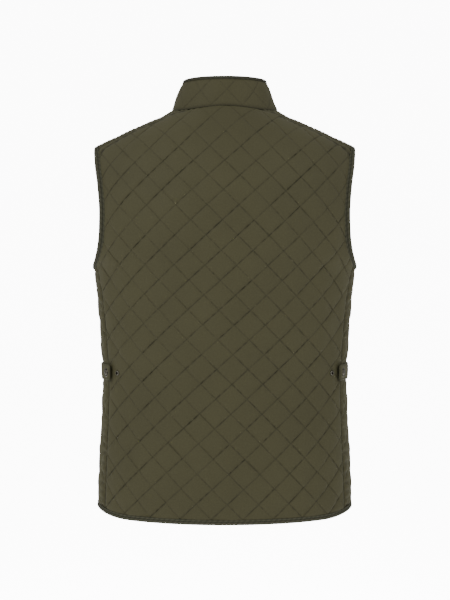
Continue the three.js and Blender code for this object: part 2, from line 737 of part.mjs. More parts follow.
function collarPanel() {
  const edge = collarEdge(collarBinding.width + seamGap, collarSteps)
  const foot = steps(12, -collarEnd, collarEnd).map((u) => new THREE.Vector2(u, collarFoot))
  const bounds = { uMin: -collarEnd - 40, uMax: collarEnd + 40, vMin: -60, vMax: 110 }
  let solid = quiltedSlab(bounds, [])
  solid = solid.intersect(prism(edge))
  solid = solid.subtract(prism(ringOutline(...collarStudFlat, stud.radius + 1), tabSeat))
  return laidOn(solid, (u, v, out) => {
    const { point, normal } = collarStop(u, v)
    return point.addScaledVector(normal, out)
  }, [edge, foot], seamFade * 0.7)
}

function collarBindingStops() {
  const { width } = collarBinding
  const inner = collarEdge(width, collarSteps).map(({ x, y }) => collarStop(x, y).point)
  return collarEdge(0, collarSteps).map(({ x, y }, i) => {
    const stop = collarStop(x, y)
    return { ...stop, inward: inner[i].sub(stop.point).divideScalar(width) }
  })
}

function hemBindingStops() {
  const end = Math.PI + lap / halfWidthAt(0)
  const path = steps(54, -end, end).map((angle) => {
    const fromFront = girth(Math.PI, Math.abs(angle), 0).length * -1
    const level = hemLevel(Math.abs(angle) > Math.PI ? Math.PI : angle)
    return stopAt(angle, level, angle > Math.PI / 2 ? lappedCloth.lift(fromFront) : 0)
  })
  return withInward(path, false, -1)
}

function frontBindingStops(cloth) {
  const low = toFlat(cloth, { angle: Math.PI, level: hemLevel(Math.PI) }).y + binding.width + 0.5
  const high = toFlat(cloth, neckPlace(Math.PI, true)).y - 1.6
  const path = steps(22, low, high).map((v) => {
    const { angle, level } = fromFlat(cloth, -lap, v)
    return stopAt(angle, level, cloth.lift(-lap))
  })
  return withInward(path, false, -1)
}

// Adjuster tab, from the front over the side seam onto the back
function tabPiece() {
  const from = toFlat(backCloth, { angle: degrees(tab.endAngle), level: tab.height })
  const to = toFlat(backCloth, { angle: degrees(tab.rootAngle), level: tab.height })
  const [low, high] = [from.y - tab.width / 2, from.y + tab.width / 2]
  const out = tabSeat + 0.45
  const bounds = { uMin: from.x - 2, uMax: to.x, vMin: low - 2, vMax: high + 2 }
  const corner = (v, start) => steps(4, start, start + Math.PI / 2).map((turn) => new THREE.Vector2(
    from.x + tab.corner + tab.corner * Math.cos(turn), v + tab.corner * Math.sin(turn)))
  const outline = [
    new THREE.Vector2(to.x + 5, low), new THREE.Vector2(to.x + 5, high),
    ...corner(high - tab.corner, Math.PI / 2), ...corner(low + tab.corner, Math.PI),
  ]
  const solid = plainSlab(bounds, out, out + tab.thickness).intersect(prism(outline))
  return laidOn(solid, (u, v, w) => place(backCloth, u, v, w))
}

function studCap({ radius, height }, { point, normal }, out) {
  const profile = [
    [0, 0], [radius * 0.97, 0], [radius, height * 0.3], [radius * 0.75, height * 0.85], [0, height],
  ].map(([x, y]) => new THREE.Vector2(x, y))
  const cap = new THREE.LatheGeometry(profile, 12)
  cap.applyQuaternion(new THREE.Quaternion().setFromUnitVectors(new THREE.Vector3(0, 1, 0), normal))
  const seat = point.clone().addScaledVector(normal, out)
  cap.translate(seat.x, seat.y, seat.z)
  cap.deleteAttribute('normal')
  cap.deleteAttribute('uv')
  return mergeVertices(cap, 1e-4)
}

function flatStop(cloth, u, v) {
  const { angle, level } = fromFlat(cloth, u, v)
  return stopAt(angle, level, cloth.lift(u))
}

const group = new THREE.Group()
group.position.z = -originHeight

function add(name, geometry, material) {
  const flat = geometry.toNonIndexed()
  flat.computeVertexNormals()
  const mesh = new THREE.Mesh(flat, material)
  mesh.name = name
  group.add(mesh)
}

function addPair(name, geometry, material) {
  add(name.replace('SIDE', 'left'), geometry, material)
  add(name.replace('SIDE', 'right'), mirrored(geometry), material)
}

add('back_panel', backPanel(), colours.cloth)
add('front_left_panel', frontPanel(true), colours.cloth)
add('front_right_panel', mirrored(frontPanel(false)), colours.cloth)
add('collar', collarPanel(), colours.cloth)
addPair('armhole_SIDE_binding', bindingAlong(armhole, binding, true), colours.binding)
add('hem_binding', bindingAlong(hemBindingStops(), binding), colours.binding)
add('front_left_binding', bindingAlong(frontBindingStops(lappedCloth), binding), colours.binding)
add('front_right_binding', mirrored(bindingAlong(frontBindingStops(frontCloth), binding)), colours.binding)
add('collar_binding', bindingAlong(collarBindingStops(), collarBinding), colours.binding)

const tabTop = tabSeat + 0.45 + tab.thickness + 4 * innerTexture
const tabEnd = toFlat(backCloth, { angle: degrees(tab.endAngle), level: tab.height })
const tabStud = flatStop(backCloth, tabEnd.x + stud.fromTabEnd, tabEnd.y)
const spareAt = flatStop(backCloth, ...spareStudFlat().toArray())
addPair('tab_SIDE', tabPiece(), colours.cloth)
addPair('tab_SIDE_stud', studCap(stud, tabStud, tabTop + seamGap), colours.stud)
addPair('spare_SIDE_stud', studCap(spareStud, spareAt, tabSeat + seamGap), colours.stud)
frontStudHeights().forEach((v, i) => {
  add(`front_stud_${i + 1}`, studCap(stud, flatStop(lappedCloth, 0, v), tabSeat + seamGap), colours.stud)
})
add('collar_stud', studCap(stud, collarStop(...collarStudFlat), tabSeat + seamGap), colours.stud)

export default group
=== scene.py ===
# A quilted vest, filled out as it is worn, seen from behind.
# The form is worked out in millimetres above the hem line, and made in metres about the shoulders.
import math
from functools import partial
import bpy
import numpy as np
from mathutils.geometry import delaunay_2d_cdt
from mathutils.kdtree import KDTree
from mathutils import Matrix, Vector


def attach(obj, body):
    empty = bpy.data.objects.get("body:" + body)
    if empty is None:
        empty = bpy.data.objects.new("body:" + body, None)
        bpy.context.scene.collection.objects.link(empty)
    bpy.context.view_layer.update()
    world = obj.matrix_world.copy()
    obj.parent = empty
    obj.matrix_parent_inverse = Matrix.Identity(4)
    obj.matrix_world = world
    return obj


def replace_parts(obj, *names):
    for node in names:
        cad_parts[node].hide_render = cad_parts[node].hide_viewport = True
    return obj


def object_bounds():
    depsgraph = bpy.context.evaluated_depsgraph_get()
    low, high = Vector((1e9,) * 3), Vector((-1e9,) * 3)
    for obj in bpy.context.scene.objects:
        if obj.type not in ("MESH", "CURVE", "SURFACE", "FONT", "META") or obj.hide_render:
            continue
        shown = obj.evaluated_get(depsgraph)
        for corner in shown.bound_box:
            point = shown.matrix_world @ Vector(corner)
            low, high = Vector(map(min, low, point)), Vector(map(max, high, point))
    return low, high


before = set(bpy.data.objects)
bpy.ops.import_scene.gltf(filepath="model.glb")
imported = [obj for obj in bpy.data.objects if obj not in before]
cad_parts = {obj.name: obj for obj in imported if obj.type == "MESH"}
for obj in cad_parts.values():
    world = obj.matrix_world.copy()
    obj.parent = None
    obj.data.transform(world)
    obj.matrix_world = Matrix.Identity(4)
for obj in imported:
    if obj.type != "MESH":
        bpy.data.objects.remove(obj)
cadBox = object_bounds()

print("frame loaded")


# Shared helpers

def smooth(low, high, value):
    share = np.clip((value - low) / (high - low), 0, 1)
    return share * share * (3 - 2 * share)


def bell(offset, width):
    return np.exp(-(offset / width) ** 2)


def strongestAt(reach, distance):
    # 0 at an edge, 1 at the reach, and fading beyond it
    return distance / reach * np.exp(1 - distance / reach)


def curveThrough(table, column):
    # a smooth curve through one column of a table, level at both ends
    rows = np.array(table, float)
    at, values = rows[:, 0], rows[:, column]
    slopes = np.zeros(len(at))
    slopes[1:-1] = (values[2:] - values[:-2]) / (at[2:] - at[:-2])

    def curve(value):
        value = np.clip(value, at[0], at[-1])
        i = np.clip(np.searchsorted(at, value, side="right") - 1, 0, len(at) - 2)
        span = at[i + 1] - at[i]
        t = (value - at[i]) / span
        h = 2 * t**3 - 3 * t**2
        return (values[i] * (h + 1) - values[i + 1] * h
                + span * (slopes[i] * (t**3 - 2 * t**2 + t) + slopes[i + 1] * (t**3 - t**2)))
    return curve


def unit(vectors):
    return vectors / np.linalg.norm(vectors, axis=-1, keepdims=True)


# The body's form

body = {
    "sections": [  # height above the hem, half width, depth behind and in front of the side line
        (0, 207.8, 127, 126), (75, 205.3, 125, 124), (141, 201.8, 121, 122), (212, 199.8, 120, 120),
        (300, 204.8, 129, 121), (372, 211.3, 138, 121), (394, 215.8, 141, 120), (411, 223.5, 143, 118),
        (432, 230.5, 145, 115), (470, 235, 147, 112)],
    "shoulders": [  # distance from the centre, height
        (0, 670), (84, 650.2), (92, 645.8), (104, 639.8), (137, 625.9), (180, 605.6), (205, 594.4),
        (216, 586.6), (240, 565)],
    "armhole": [  # height, distance from the centre behind, how far the front is scooped in
        (394, 214.9, 0), (408, 208.8, 1), (422, 204, 4), (442, 200.5, 8), (480, 199.2, 11),
        (520, 203.2, 9), (555, 209, 4), (590, 212.8, 0)],
    "sideSeam": [(0, 67.8), (212, 69.2), (330, 70.5), (380, 73.5), (430, 79)],  # height, degrees round
    "chest": 470,
    "archUnit": 150,
    "archFullness": 0.12,
    "shoulderSeam": (44, 27),  # how far behind the top of the shoulder, at the neck and at the tip
    "neck": {"halfWidth": 85.2, "back": 72, "front": 93},
    "hemDrop": 6.4,
    "hemSideRise": 8.8,
    "origin": 617,
    "lap": 18,
    "lapLift": 6.2,
    "lapRamp": (28, 78),
}
halfWidthAt, backAt, frontAt = [curveThrough(body["sections"], column) for column in (1, 2, 3)]
shoulderAt = curveThrough(body["shoulders"], 1)
armholeAt, scoopAt = [curveThrough(body["armhole"], column) for column in (1, 2)]
sideSeamAt = curveThrough(body["sideSeam"], 1)
chest, archUnit = body["chest"], body["archUnit"]
topLevel = chest + archUnit * math.pi / 2
armholeFloor = body["armhole"][0][0]


def archDepth(arch):
    return np.cos(arch) * (1 + body["archFullness"] * np.sin(arch) ** 2)


def onForm(angle, level):
    # angle 0 is the centre back and half a turn the centre front; level climbs from hem to shoulder
    height = np.minimum(level, chest)
    arch = np.maximum(0, level - chest) / archUnit
    depth = (backAt(height) + frontAt(height)) / 2
    lean = (backAt(height) - frontAt(height)) / 2
    x = halfWidthAt(height) * np.sin(angle)
    turn = np.cos(angle) * archDepth(arch)
    rise = np.sin(arch) * (1 + body["archFullness"] * np.cos(arch) ** 2)
    z = height + (shoulderAt(np.abs(x)) - chest) * rise
    return np.stack(np.broadcast_arrays(x, turn * (depth + lean * turn), z), -1)


def formSlopes(angle, level):
    swing, reach = 0.0025, 0.5
    around = (onForm(angle + swing, level) - onForm(angle - swing, level)) / (2 * swing)
    climb = (onForm(angle, level + reach) - onForm(angle, level - reach)) / (2 * reach)
    return around, climb, unit(np.cross(climb, around))


def nearestOnForm(angle, level, target):
    for _ in range(4):
        around, climb, _ = formSlopes(angle, level)
        miss = target - onForm(angle, level)
        a, b, c = [(p * q).sum(-1) for p, q in ((around, around), (around, climb), (climb, climb))]
        p, q = (miss * around).sum(-1), (miss * climb).sum(-1)
        angle = angle + (p * c - q * b) / (a * c - b * b)
        level = level + (q * a - p * b) / (a * c - b * b)
    return angle, level


def overShoulder(x, y, fromFront):
    # where the arch over the shoulders passes a place in the plan
    depth = (backAt(chest) + frontAt(chest)) / 2
    lean = (backAt(chest) - frontAt(chest)) / 2
    turn = (-depth + np.sqrt(depth**2 + 4 * lean * y)) / (2 * lean)
    side = np.arcsin(x / halfWidthAt(chest))
    angle = np.where(fromFront, math.pi - side, side)
    low, high = np.zeros_like(angle), np.full_like(angle, math.pi)
    for _ in range(40):
        middle = (low + high) / 2
        higher = archDepth(middle) > turn / np.cos(angle)
        low, high = np.where(higher, middle, low), np.where(higher, high, middle)
    return angle, chest + archUnit * low


def girth(start, angle, height):
    # distance along the cloth round the body, and its rate, by Simpson's rule
    depth = (backAt(height) + frontAt(height)) / 2
    lean = (backAt(height) - frontAt(height)) / 2
    half, parts = halfWidthAt(height), 16

    def speed(at):
        return np.hypot(half * np.cos(at), np.sin(at) * (depth + 2 * lean * np.cos(at)))
    total = speed(start) + speed(angle)
    for i in range(1, parts):
        total = total + speed(start + (angle - start) * i / parts) * (4 if i % 2 else 2)
    return total * (angle - start) / parts / 3, speed(angle)


climbAngles = np.linspace(0, math.pi, 61)
climbLevels = np.arange(-40, chest + archUnit * 2.4 + 10, 10.0)
climbPoints = onForm(climbAngles[None], climbLevels[:, None])
climbTable = np.concatenate([np.full((1, 61), -40.0), -40 + np.cumsum(
    np.linalg.norm(np.diff(climbPoints, axis=0), axis=-1), axis=0)])


def climbRow(angle, row):
    folded = np.abs(angle)
    folded = np.where(folded > math.pi, 2 * math.pi - folded, folded)
    at = folded / math.pi * 60
    column = np.clip(np.floor(at).astype(int), 0, 59)
    return climbTable[row, column] * (1 - at + column) + climbTable[row, column + 1] * (at - column)


def climbTo(angle, level):
    at = (level + 40) / 10
    row = np.floor(at).astype(int)
    return climbRow(angle, row) * (1 - at + row) + climbRow(angle, row + 1) * (at - row)


def levelAt(angle, climb):
    low = np.zeros(np.shape(climb), int)
    high = np.full(np.shape(climb), len(climbLevels) - 1)
    for _ in range(8):
        middle = (low + high) // 2
        over = climbRow(angle, middle) > climb
        low, high = np.where(over, low, middle), np.where(over, middle, high)
        high = np.maximum(high, low + 1)
    below, above = climbRow(angle, low), climbRow(angle, high)
    return climbLevels[low] + 10 * (high - low) * (climb - below) / (above - below)


# Flat cloth: u runs round the body from a centre line, v up from the hem line
backCloth = {"start": 0.0, "turn": 1, "lift": 0.0}
frontCloth = {"start": math.pi, "turn": -1, "lift": 0.0}
lappedCloth = dict(frontCloth, lift=body["lapLift"])


def liftAt(cloth, u):
    return cloth["lift"] * (1 - smooth(*body["lapRamp"], u))


def toFlat(cloth, angle, level):
    length, _ = girth(cloth["start"], angle, np.minimum(level, chest))
    return np.stack([length * cloth["turn"], climbTo(angle, level)], -1)


def fromFlat(cloth, u, v):
    level = v
    angle = cloth["start"] + cloth["turn"] * u / 180
    for _ in range(6):
        height = np.minimum(level, chest)
        for _ in range(2):
            length, speed = girth(cloth["start"], angle, height)
            angle = angle + (cloth["turn"] * u - length) / speed
        level = levelAt(angle, v)
    return angle, level


def placeOn(cloth, u, v, out):
    angle, level = fromFlat(cloth, u, v)
    normal = formSlopes(angle, level)[2]
    return onForm(angle, level) + normal * (out + liftAt(cloth, u))[:, None]


# Edges of the cut cloth

def armholeLoop(count):
    # the finished edge from its lowest point up the back and down the front
    def half(front):
        def across(height):
            return armholeAt(height) - (scoopAt(height) if front else 0)
        highSide = math.asin(across(chest) / halfWidthAt(chest))
        side = math.pi / 2 + (highSide - math.pi / 2) * np.arange(count) / count
        low, high = np.full(count, float(armholeFloor)), np.full(count, float(chest))
        for _ in range(30):
            middle = (low + high) / 2
            inside = across(middle) > halfWidthAt(middle) * np.sin(side)
            low, high = np.where(inside, middle, low), np.where(inside, high, middle)
        low[0] = armholeFloor
        arch = math.pi / 2 * np.arange(count) / count
        far = np.full(count, float(across(chest)))
        for _ in range(12):
            far = across(chest + (shoulderAt(far) - chest) * np.sin(arch))
        return (np.concatenate([side, np.arcsin(far / halfWidthAt(chest))]),
                np.concatenate([low, chest + archUnit * arch]))
    backSide, backLevel = half(False)
    frontSide, frontLevel = half(True)
    top = math.asin(armholeAt(999) / halfWidthAt(chest))
    angle = np.concatenate([backSide, [top], math.pi - frontSide[:0:-1]])
    level = np.concatenate([backLevel, [topLevel], frontLevel[:0:-1]])
    return withInward(angle, level, onForm(angle, level), formSlopes(angle, level)[2], True)


def withInward(angle, level, points, normals, closed):
    if closed:
        tangent = np.roll(points, -1, 0) - np.roll(points, 1, 0)
    else:
        tangent = np.gradient(points, axis=0)
    inward = -unit(np.cross(normals, unit(tangent)))
    return {"angle": angle, "level": level, "points": points, "normals": normals, "inward": inward,
            "lean": np.zeros(len(points))}


def armholeCut(cloth, inset):
    count = len(armhole["angle"]) // 4
    order = np.arange(4 * count)
    if cloth is backCloth:
        order = np.concatenate([order[-count // 3:], order[:2 * count + count // 6]])
    else:
        order = np.concatenate([order[count + count * 2 // 3:], order[:count * 9 // 12]])[::-1]
    angle, level = armhole["angle"][order], armhole["level"][order]
    if cloth is not backCloth:
        behind = (level > chest) & (angle < math.pi / 2)
        angle = np.where(behind, math.pi - angle, angle)
        level = np.where(behind, 2 * topLevel - level, level)
    target = armhole["points"][order] + armhole["inward"][order] * inset
    return toFlat(cloth, *nearestOnForm(angle, level, target))


def hemLevel(angle):
    turned = np.degrees(np.abs(angle))
    return -body["hemDrop"] + body["hemSideRise"] * smooth(48, 88, turned) * (1 - smooth(92, 132, turned))


def hemCut(cloth, low, high, inset):
    angle = np.linspace(low, high, 160)
    return toFlat(cloth, angle, hemLevel(angle)) + [0, inset]


def neckPlace(turn, fromFront):
    neck = body["neck"]
    depth, lean = (neck["back"] + neck["front"]) / 2, (neck["back"] - neck["front"]) / 2
    x, y = neck["halfWidth"] * np.sin(turn), np.cos(turn) * (depth + lean * np.cos(turn))
    return overShoulder(x, y, fromFront)


def shoulderCut(cloth, inset):
    across = np.linspace(220, 60, 80)
    neckSide, tip = body["shoulderSeam"]
    share = (across - body["neck"]["halfWidth"]) / (armholeAt(999) - body["neck"]["halfWidth"])
    behind = neckSide + (tip - neckSide) * share
    return toFlat(cloth, *overShoulder(across, behind, cloth is not backCloth)) - [0, inset]


def sideCut(cloth, inset):
    height = np.linspace(-40, 430, 180)
    return toFlat(cloth, np.radians(sideSeamAt(height)), height) - [inset, 0]


def crossing(first, second):
    p, q = first[:-1, None], second[None, :-1]
    r, s = np.diff(first, axis=0)[:, None], np.diff(second, axis=0)[None]
    scale = r[..., 0] * s[..., 1] - r[..., 1] * s[..., 0]
    d = q - p
    with np.errstate(divide="ignore", invalid="ignore"):
        t = (d[..., 0] * s[..., 1] - d[..., 1] * s[..., 0]) / scale
        w = (d[..., 0] * r[..., 1] - d[..., 1] * r[..., 0]) / scale
    i, j = np.argwhere((t >= 0) & (t <= 1) & (w >= 0) & (w <= 1))[0]
    return i, j, first[i] + t[i, j] * (first[i + 1] - first[i])


def outlineOf(edges, step):
    # the closed outline of edges that each cross the next, with an even spacing along each
    ends = [crossing(edge, edges[(i + 1) % len(edges)]) for i, edge in enumerate(edges)]
    parts = []
    for i, edge in enumerate(edges):
        _, start, startPoint = ends[i - 1]
        stop, _, stopPoint = ends[i]
        line = np.vstack([startPoint, edge[start + 1:stop + 1], stopPoint])
        parts.append(evenly(line, step))
    return parts


def evenly(line, step):
    along = np.concatenate([[0], np.cumsum(np.linalg.norm(np.diff(line, axis=0), axis=1))])
    count = max(2, int(round(along[-1] / step)) + 1)
    at = np.linspace(0, along[-1], count)
    return np.stack([np.interp(at, along, line[:, k]) for k in range(line.shape[1])], -1)


def distanceFrom(lines):
    # a function that gives the distance from each of its points to a set of open lines
    samples = np.concatenate([evenly(line, 0.25) for line in lines])
    tree = KDTree(len(samples))
    for i, (x, y) in enumerate(samples.tolist()):
        tree.insert((x, y, 0), i)
    tree.balance()

    def distance(points):
        return np.array([tree.find((x, y, 0))[2] for x, y in points.tolist()])
    return distance


def joined(edges):
    return np.vstack([edge[:-1] for edge in edges])


def distanceFromRim(outline):
    return distanceFrom([np.vstack([outline, outline[:1]])])


def flatArea(outline):
    x, y = outline.T
    return (x * np.roll(y, -1) - np.roll(x, -1) * y).sum() / 2


def insideOf(outline, points):
    # each side of the outline flips the points that lie to the left of it
    order = np.argsort(points[:, 1])
    x, y = points[order].T
    flips = np.zeros(len(points), bool)
    for (x0, y0), (x1, y1) in zip(outline, np.roll(outline, -1, 0)):
        low, high = np.searchsorted(y, sorted((y0, y1)))
        if high > low:
            flips[low:high] ^= x[low:high] < (x1 - x0) * (y[low:high] - y0) / (y1 - y0) + x0
    inside = np.zeros(len(points), bool)
    inside[order] = flips
    return inside


# Quilting

quilting = {
    "rising": {"slope": 1.0, "pitch": 48.2, "start": 29.5, "pull": 0.72},
    "falling": {"slope": -0.913, "pitch": 44.85, "start": 21.3, "pull": 1.0},
    "easeFrom": 560,   # above this the diamonds lengthen a little, over the shoulders
    "ease": 520,
    "crown": 1.9,      # height of a diamond over its lines
    "pillow": 0.55,    # share of that height that is domed, the rest is a flat top
    "shoulder": 2.3,   # how quickly the flat top drops to a line
    "dome": 2.6,
    "ditch": 0.5,      # how deep the thread pulls into the cloth
    "ditchWidth": 0.75,
    "pucker": 0.42,
    "tilt": 2.6,       # how much one side of a diamond may stand higher than the other
    "faint": 0.08,     # least pull of a thread, where its line nearly goes
    "dashes": 0.5,     # how unevenly the thread pulls along a line
    "fade": 0.6,       # how much fainter the rising lines get towards the wearer's left, in depth and in painted shade; it stands in for light falling from one side
    "edgeFade": 5.5,
    "threadStops": 3,  # how far short of a panel's edge
    # where the points of a cloth lie across each diamond, outside and inside
    "fineShares": [0, .011, .03, .065, .115, .18, .26, .34, .42, .5, .58, .66, .74, .82, .885, .935,
                   .97, .989],
    "plainShares": [0, .07, .25, .5, .75, .93],
}


def eased(v):
    over = np.maximum(0, v - quilting["easeFrom"])
    return v - over**2 / quilting["ease"]


def uneased(v):
    over = np.clip(v - quilting["easeFrom"], 0, quilting["ease"] / 4)
    half = quilting["ease"] / 2
    return v - over + half - np.sqrt(half**2 - quilting["ease"] * over)


def latticeOf(points):
    # each point's place between the two families of lines, in cells
    return [(eased(points[:, 1]) - lines["slope"] * points[:, 0] - lines["start"]) / lines["pitch"]
            for lines in (quilting["rising"], quilting["falling"])]


def flatOf(i, j):
    rising, falling = quilting["rising"], quilting["falling"]
    low = rising["start"] + rising["pitch"] * i
    u = (falling["start"] + falling["pitch"] * j - low) / (rising["slope"] - falling["slope"])
    return np.stack([u, uneased(low + rising["slope"] * u)], -1)


def uneven(line, part, seed):
    # 0 to 1, different on each line and on each part of it
    return np.mod(np.sin(line * 12.99 + part * 78.23 + seed * 37.7) * 437.58, 1)


def wander(along, line, seed):
    # a slow 0 to 1 along a line, different on each line
    turn = np.sin(along / 37 + 2.1 * line + seed) + np.sin(along / 83 + 4.7 * line + 2 * seed)
    return 0.5 + 0.25 * turn


def quiltedAt(points):
    # height of the quilted cloth over its lines, and how far down in a ditch each point is, which also sets the
    # painted shade along the lines
    height, ditch = np.ones(len(points)), np.zeros(len(points))
    pucker = np.zeros(len(points))
    cells = latticeOf(points)
    for seed, lines in enumerate((quilting["rising"], quilting["falling"])):
        cell, other = cells[seed], cells[1 - seed]
        scale = lines["pitch"] / math.hypot(1, lines["slope"])
        nearest, part = np.round(cell), np.floor(other)
        away = np.abs(cell - nearest) * scale
        along = (points[:, 0] + points[:, 1] * lines["slope"]) / math.hypot(1, lines["slope"])
        pull = uneven(nearest, part, seed) * 0.75 + wander(along, nearest, seed) * 0.5
        share = lines["pull"] * (1 - quilting["fade"] * (1 - seed) * smooth(-60, 60, points[:, 0]))
        dashes = np.sin(along / 3.1 + 5 * nearest + 2 * np.sin(along / 11))
        drawn = quilting["faint"] + pull * (1 - quilting["faint"] + quilting["dashes"] * dashes)
        pull = share * np.maximum(quilting["faint"], drawn)
        flatTop = 1 - np.exp(-away / quilting["shoulder"])
        domed = 1 - np.abs(1 - np.minimum(away / (scale / 2), 1)) ** quilting["dome"]
        profile = quilting["pillow"] * domed + (1 - quilting["pillow"]) * flatTop
        height = height * (1 - (1 - profile) * np.clip(0.42 + 0.62 * pull, 0, 1))
        ditch = np.maximum(ditch, pull * bell(away, quilting["ditchWidth"]))
        ripple = np.sin(along / 1.25 + 1.7 * nearest + 2 * np.sin(along / 9 + nearest)) * (0.25 + 1.1 * pull)
        pucker += quilting["pucker"] * uneven(nearest, part, 9) * ripple * strongestAt(2.4, away)
    whole = [np.floor(cell) for cell in cells]
    tilt = sum((cell - part - 0.5) * (uneven(*whole, 3 + k) - 0.5)
               for k, (cell, part) in enumerate(zip(cells, whole)))
    height = height * (0.84 + 0.32 * uneven(*whole, 6) + quilting["tilt"] * tilt)
    crown = quilting["crown"] * (1 - 0.35 * smooth(470, 600, points[:, 1]))
    return crown * height - quilting["ditch"] * ditch + pucker, ditch


def creasesAt(points, creases):
    # soft folds: each has its middle, its direction in degrees, half length, half width and height
    total = np.zeros(len(points))
    for u, v, turn, half, width, height in creases:
        offset = points - [u, v]
        c, s = math.cos(math.radians(turn)), math.sin(math.radians(turn))
        along, across = offset @ [c, s], offset @ [-s, c]
        bow = across - 0.0012 * along**2
        total += height * bell(bow, width) * np.clip(1 - (along / half) ** 2, 0, 1) ** 2
    return total


# Meshes

def makeObject(name, points, faces, material, flat=None, values=None):
    mesh = bpy.data.meshes.new(name)
    world = (np.asarray(points, float) - [0, 0, body["origin"]]) / 1000
    mesh.from_pydata(world.tolist(), [], [list(map(int, face)) for face in faces])
    mesh.validate()
    mesh.shade_smooth()
    if flat is not None:
        corners = np.empty(len(mesh.loops), np.int32)
        mesh.loops.foreach_get("vertex_index", corners)
        layer = mesh.uv_layers.new(name="flatCloth")
        layer.data.foreach_set("uv", (np.asarray(flat)[corners] / 1000).astype(np.float32).ravel())
    for label, numbers in (values or {}).items():
        attribute = mesh.attributes.new(label, "FLOAT", "POINT")
        attribute.data.foreach_set("value", np.asarray(numbers, np.float32))
    mesh.materials.append(material)
    obj = bpy.data.objects.new(name, mesh)
    bpy.context.collection.objects.link(obj)
    return obj


def trianglesOver(outline, grid):
    # triangles that fill an outline, with a grid of points inside it
    count = len(outline)
    rim = [(k, (k + 1) % count) for k in range(count)]
    places = [tuple(place) for place in np.vstack([outline, grid]).tolist()]
    found, _, faces, _, _, _ = delaunay_2d_cdt(places, rim, [], 1, 1e-5)
    return np.array([(place.x, place.y) for place in found]), faces


def shellFaces(over, under, offset, count):
    # the faces of a closed shell: its upper side, its under side and the cut edge between them
    faces = [tuple(face) for face in over] + [tuple(offset + k for k in reversed(face)) for face in under]
    return faces + [((k + 1) % count, k, offset + k, offset + (k + 1) % count) for k in range(count)]


def fillOutline(outline, shares, clearance):
    # triangles over flat cloth, their points in step with the quilting and closest beside its lines
    shares = np.array(shares)
    i, j = latticeOf(outline)
    rows = (np.arange(math.floor(i.min()), math.ceil(i.max()) + 1)[:, None] + shares).ravel()
    columns = (np.arange(math.floor(j.min()), math.ceil(j.max()) + 1)[:, None] + shares).ravel()
    grid = flatOf(*[axis.ravel() for axis in np.meshgrid(rows, columns, indexing="ij")])
    grid = grid[((grid > outline.min(0)) & (grid < outline.max(0))).all(1)]
    grid = grid[insideOf(outline, grid)]
    return trianglesOver(outline, grid[distanceFromRim(outline)(grid) > clearance])


def clothShell(name, edges, placing, outer, inner, material, mirror=False):
    # a closed shell: a fine outer face, a plainer inner one, and the cut edge between them
    outline = joined(edges)
    fineFlat, fineFaces = fillOutline(outline, quilting["fineShares"], 0.8)
    plainFlat, plainFaces = fillOutline(outline, quilting["plainShares"], 2.5)
    fineOut, ditch = outer(fineFlat)
    points = np.vstack([placing(*fineFlat.T, fineOut), placing(*plainFlat.T, inner(plainFlat))])
    faces = shellFaces(fineFaces, plainFaces, len(fineFlat), len(outline))
    if mirror:
        points = points * [-1, 1, 1]
    faces = facingOut(points, faces)
    flat = np.vstack([fineFlat, plainFlat])
    ditches = np.concatenate([ditch, np.zeros(len(plainFlat))])
    return makeObject(name, points, faces, material, flat, {"ditch": ditches})


def facingOut(points, faces):
    volume = 0.0
    for size in {len(face) for face in faces}:
        ring = points[np.array([face for face in faces if len(face) == size])]
        for k in range(1, size - 1):
            volume += np.einsum("ij,ij->i", ring[:, 0], np.cross(ring[:, k], ring[:, k + 1])).sum()
    return [face[::-1] for face in faces] if volume < 0 else faces


def sweep(name, path, section, shadeMarks, material, closed, wobble, mirror):
    # a folded tape along a path: the section is how far in from the edge, and how far out
    section = np.array(section, float)
    points, normals, inward = path["points"], path["normals"], path["inward"]
    count, sides = len(points), len(section)
    steps = np.linalg.norm(np.roll(points, -1, 0) - points, axis=1)
    along = np.concatenate([[0], np.cumsum(steps[:-1])])
    outs = section[None, :, 1] - path["lean"][:, None] * section[None, :, 0]
    outs = outs + wobble(along[:, None], section[None, :, 1])
    grid = (points[:, None] + inward[:, None] * section[None, :, 0:1] + normals[:, None] * outs[..., None])
    rings = count if closed else count - 1
    faces = []
    for i in range(rings):
        n = (i + 1) % count
        for k in range(sides):
            m = (k + 1) % sides
            faces.append((i * sides + k, i * sides + m, n * sides + m, n * sides + k))
    if not closed:
        faces.append(tuple(range(sides))[::-1])
        faces.append(tuple((count - 1) * sides + k for k in range(sides)))
    grid = grid.reshape(-1, 3)
    if mirror:
        grid = grid * [-1, 1, 1]
    across = np.concatenate([[0], np.cumsum(np.linalg.norm(np.diff(section, axis=0), axis=1))])
    flat = np.stack(np.broadcast_arrays(along[:, None], across[None]), -1).reshape(-1, 2)
    return makeObject(name, grid, facingOut(grid, faces), material, flat, {"ditch": np.tile(shadeMarks, count)})


# Materials

looks = {
    "cloth": (0.0695, 0.0645, 0.0300),
    # clothShade is the colour of the painted shade in ditches, at seams and under tabs
    "clothShade": (0.0300, 0.0280, 0.0130),
    "tape": (0.0655, 0.0655, 0.0415),
    "thread": (0.0400, 0.0380, 0.0200),
    "metal": (0.15, 0.138, 0.11),
    "socket": (0.17, 0.16, 0.13),
    "weave": 0.55,     # thread spacing of the cloth, mm
    "tapeRib": 2.1,
}


def startMaterial(name, roughness, metal=0.0):
    material = bpy.data.materials.new(name)
    material.use_nodes = True
    nodes, links = material.node_tree.nodes, material.node_tree.links
    shader = next(node for node in nodes if node.type == "BSDF_PRINCIPLED")
    shader.inputs["Roughness"].default_value = roughness
    shader.inputs["Metallic"].default_value = metal
    return material, nodes, links, shader


def addNode(nodes, kind, settings=None, **inputs):
    node = nodes.new(kind)
    for key, value in (settings or {}).items():
        setattr(node, key, value)
    for key, value in inputs.items():
        node.inputs[key.replace("_", " ")].default_value = value
    return node


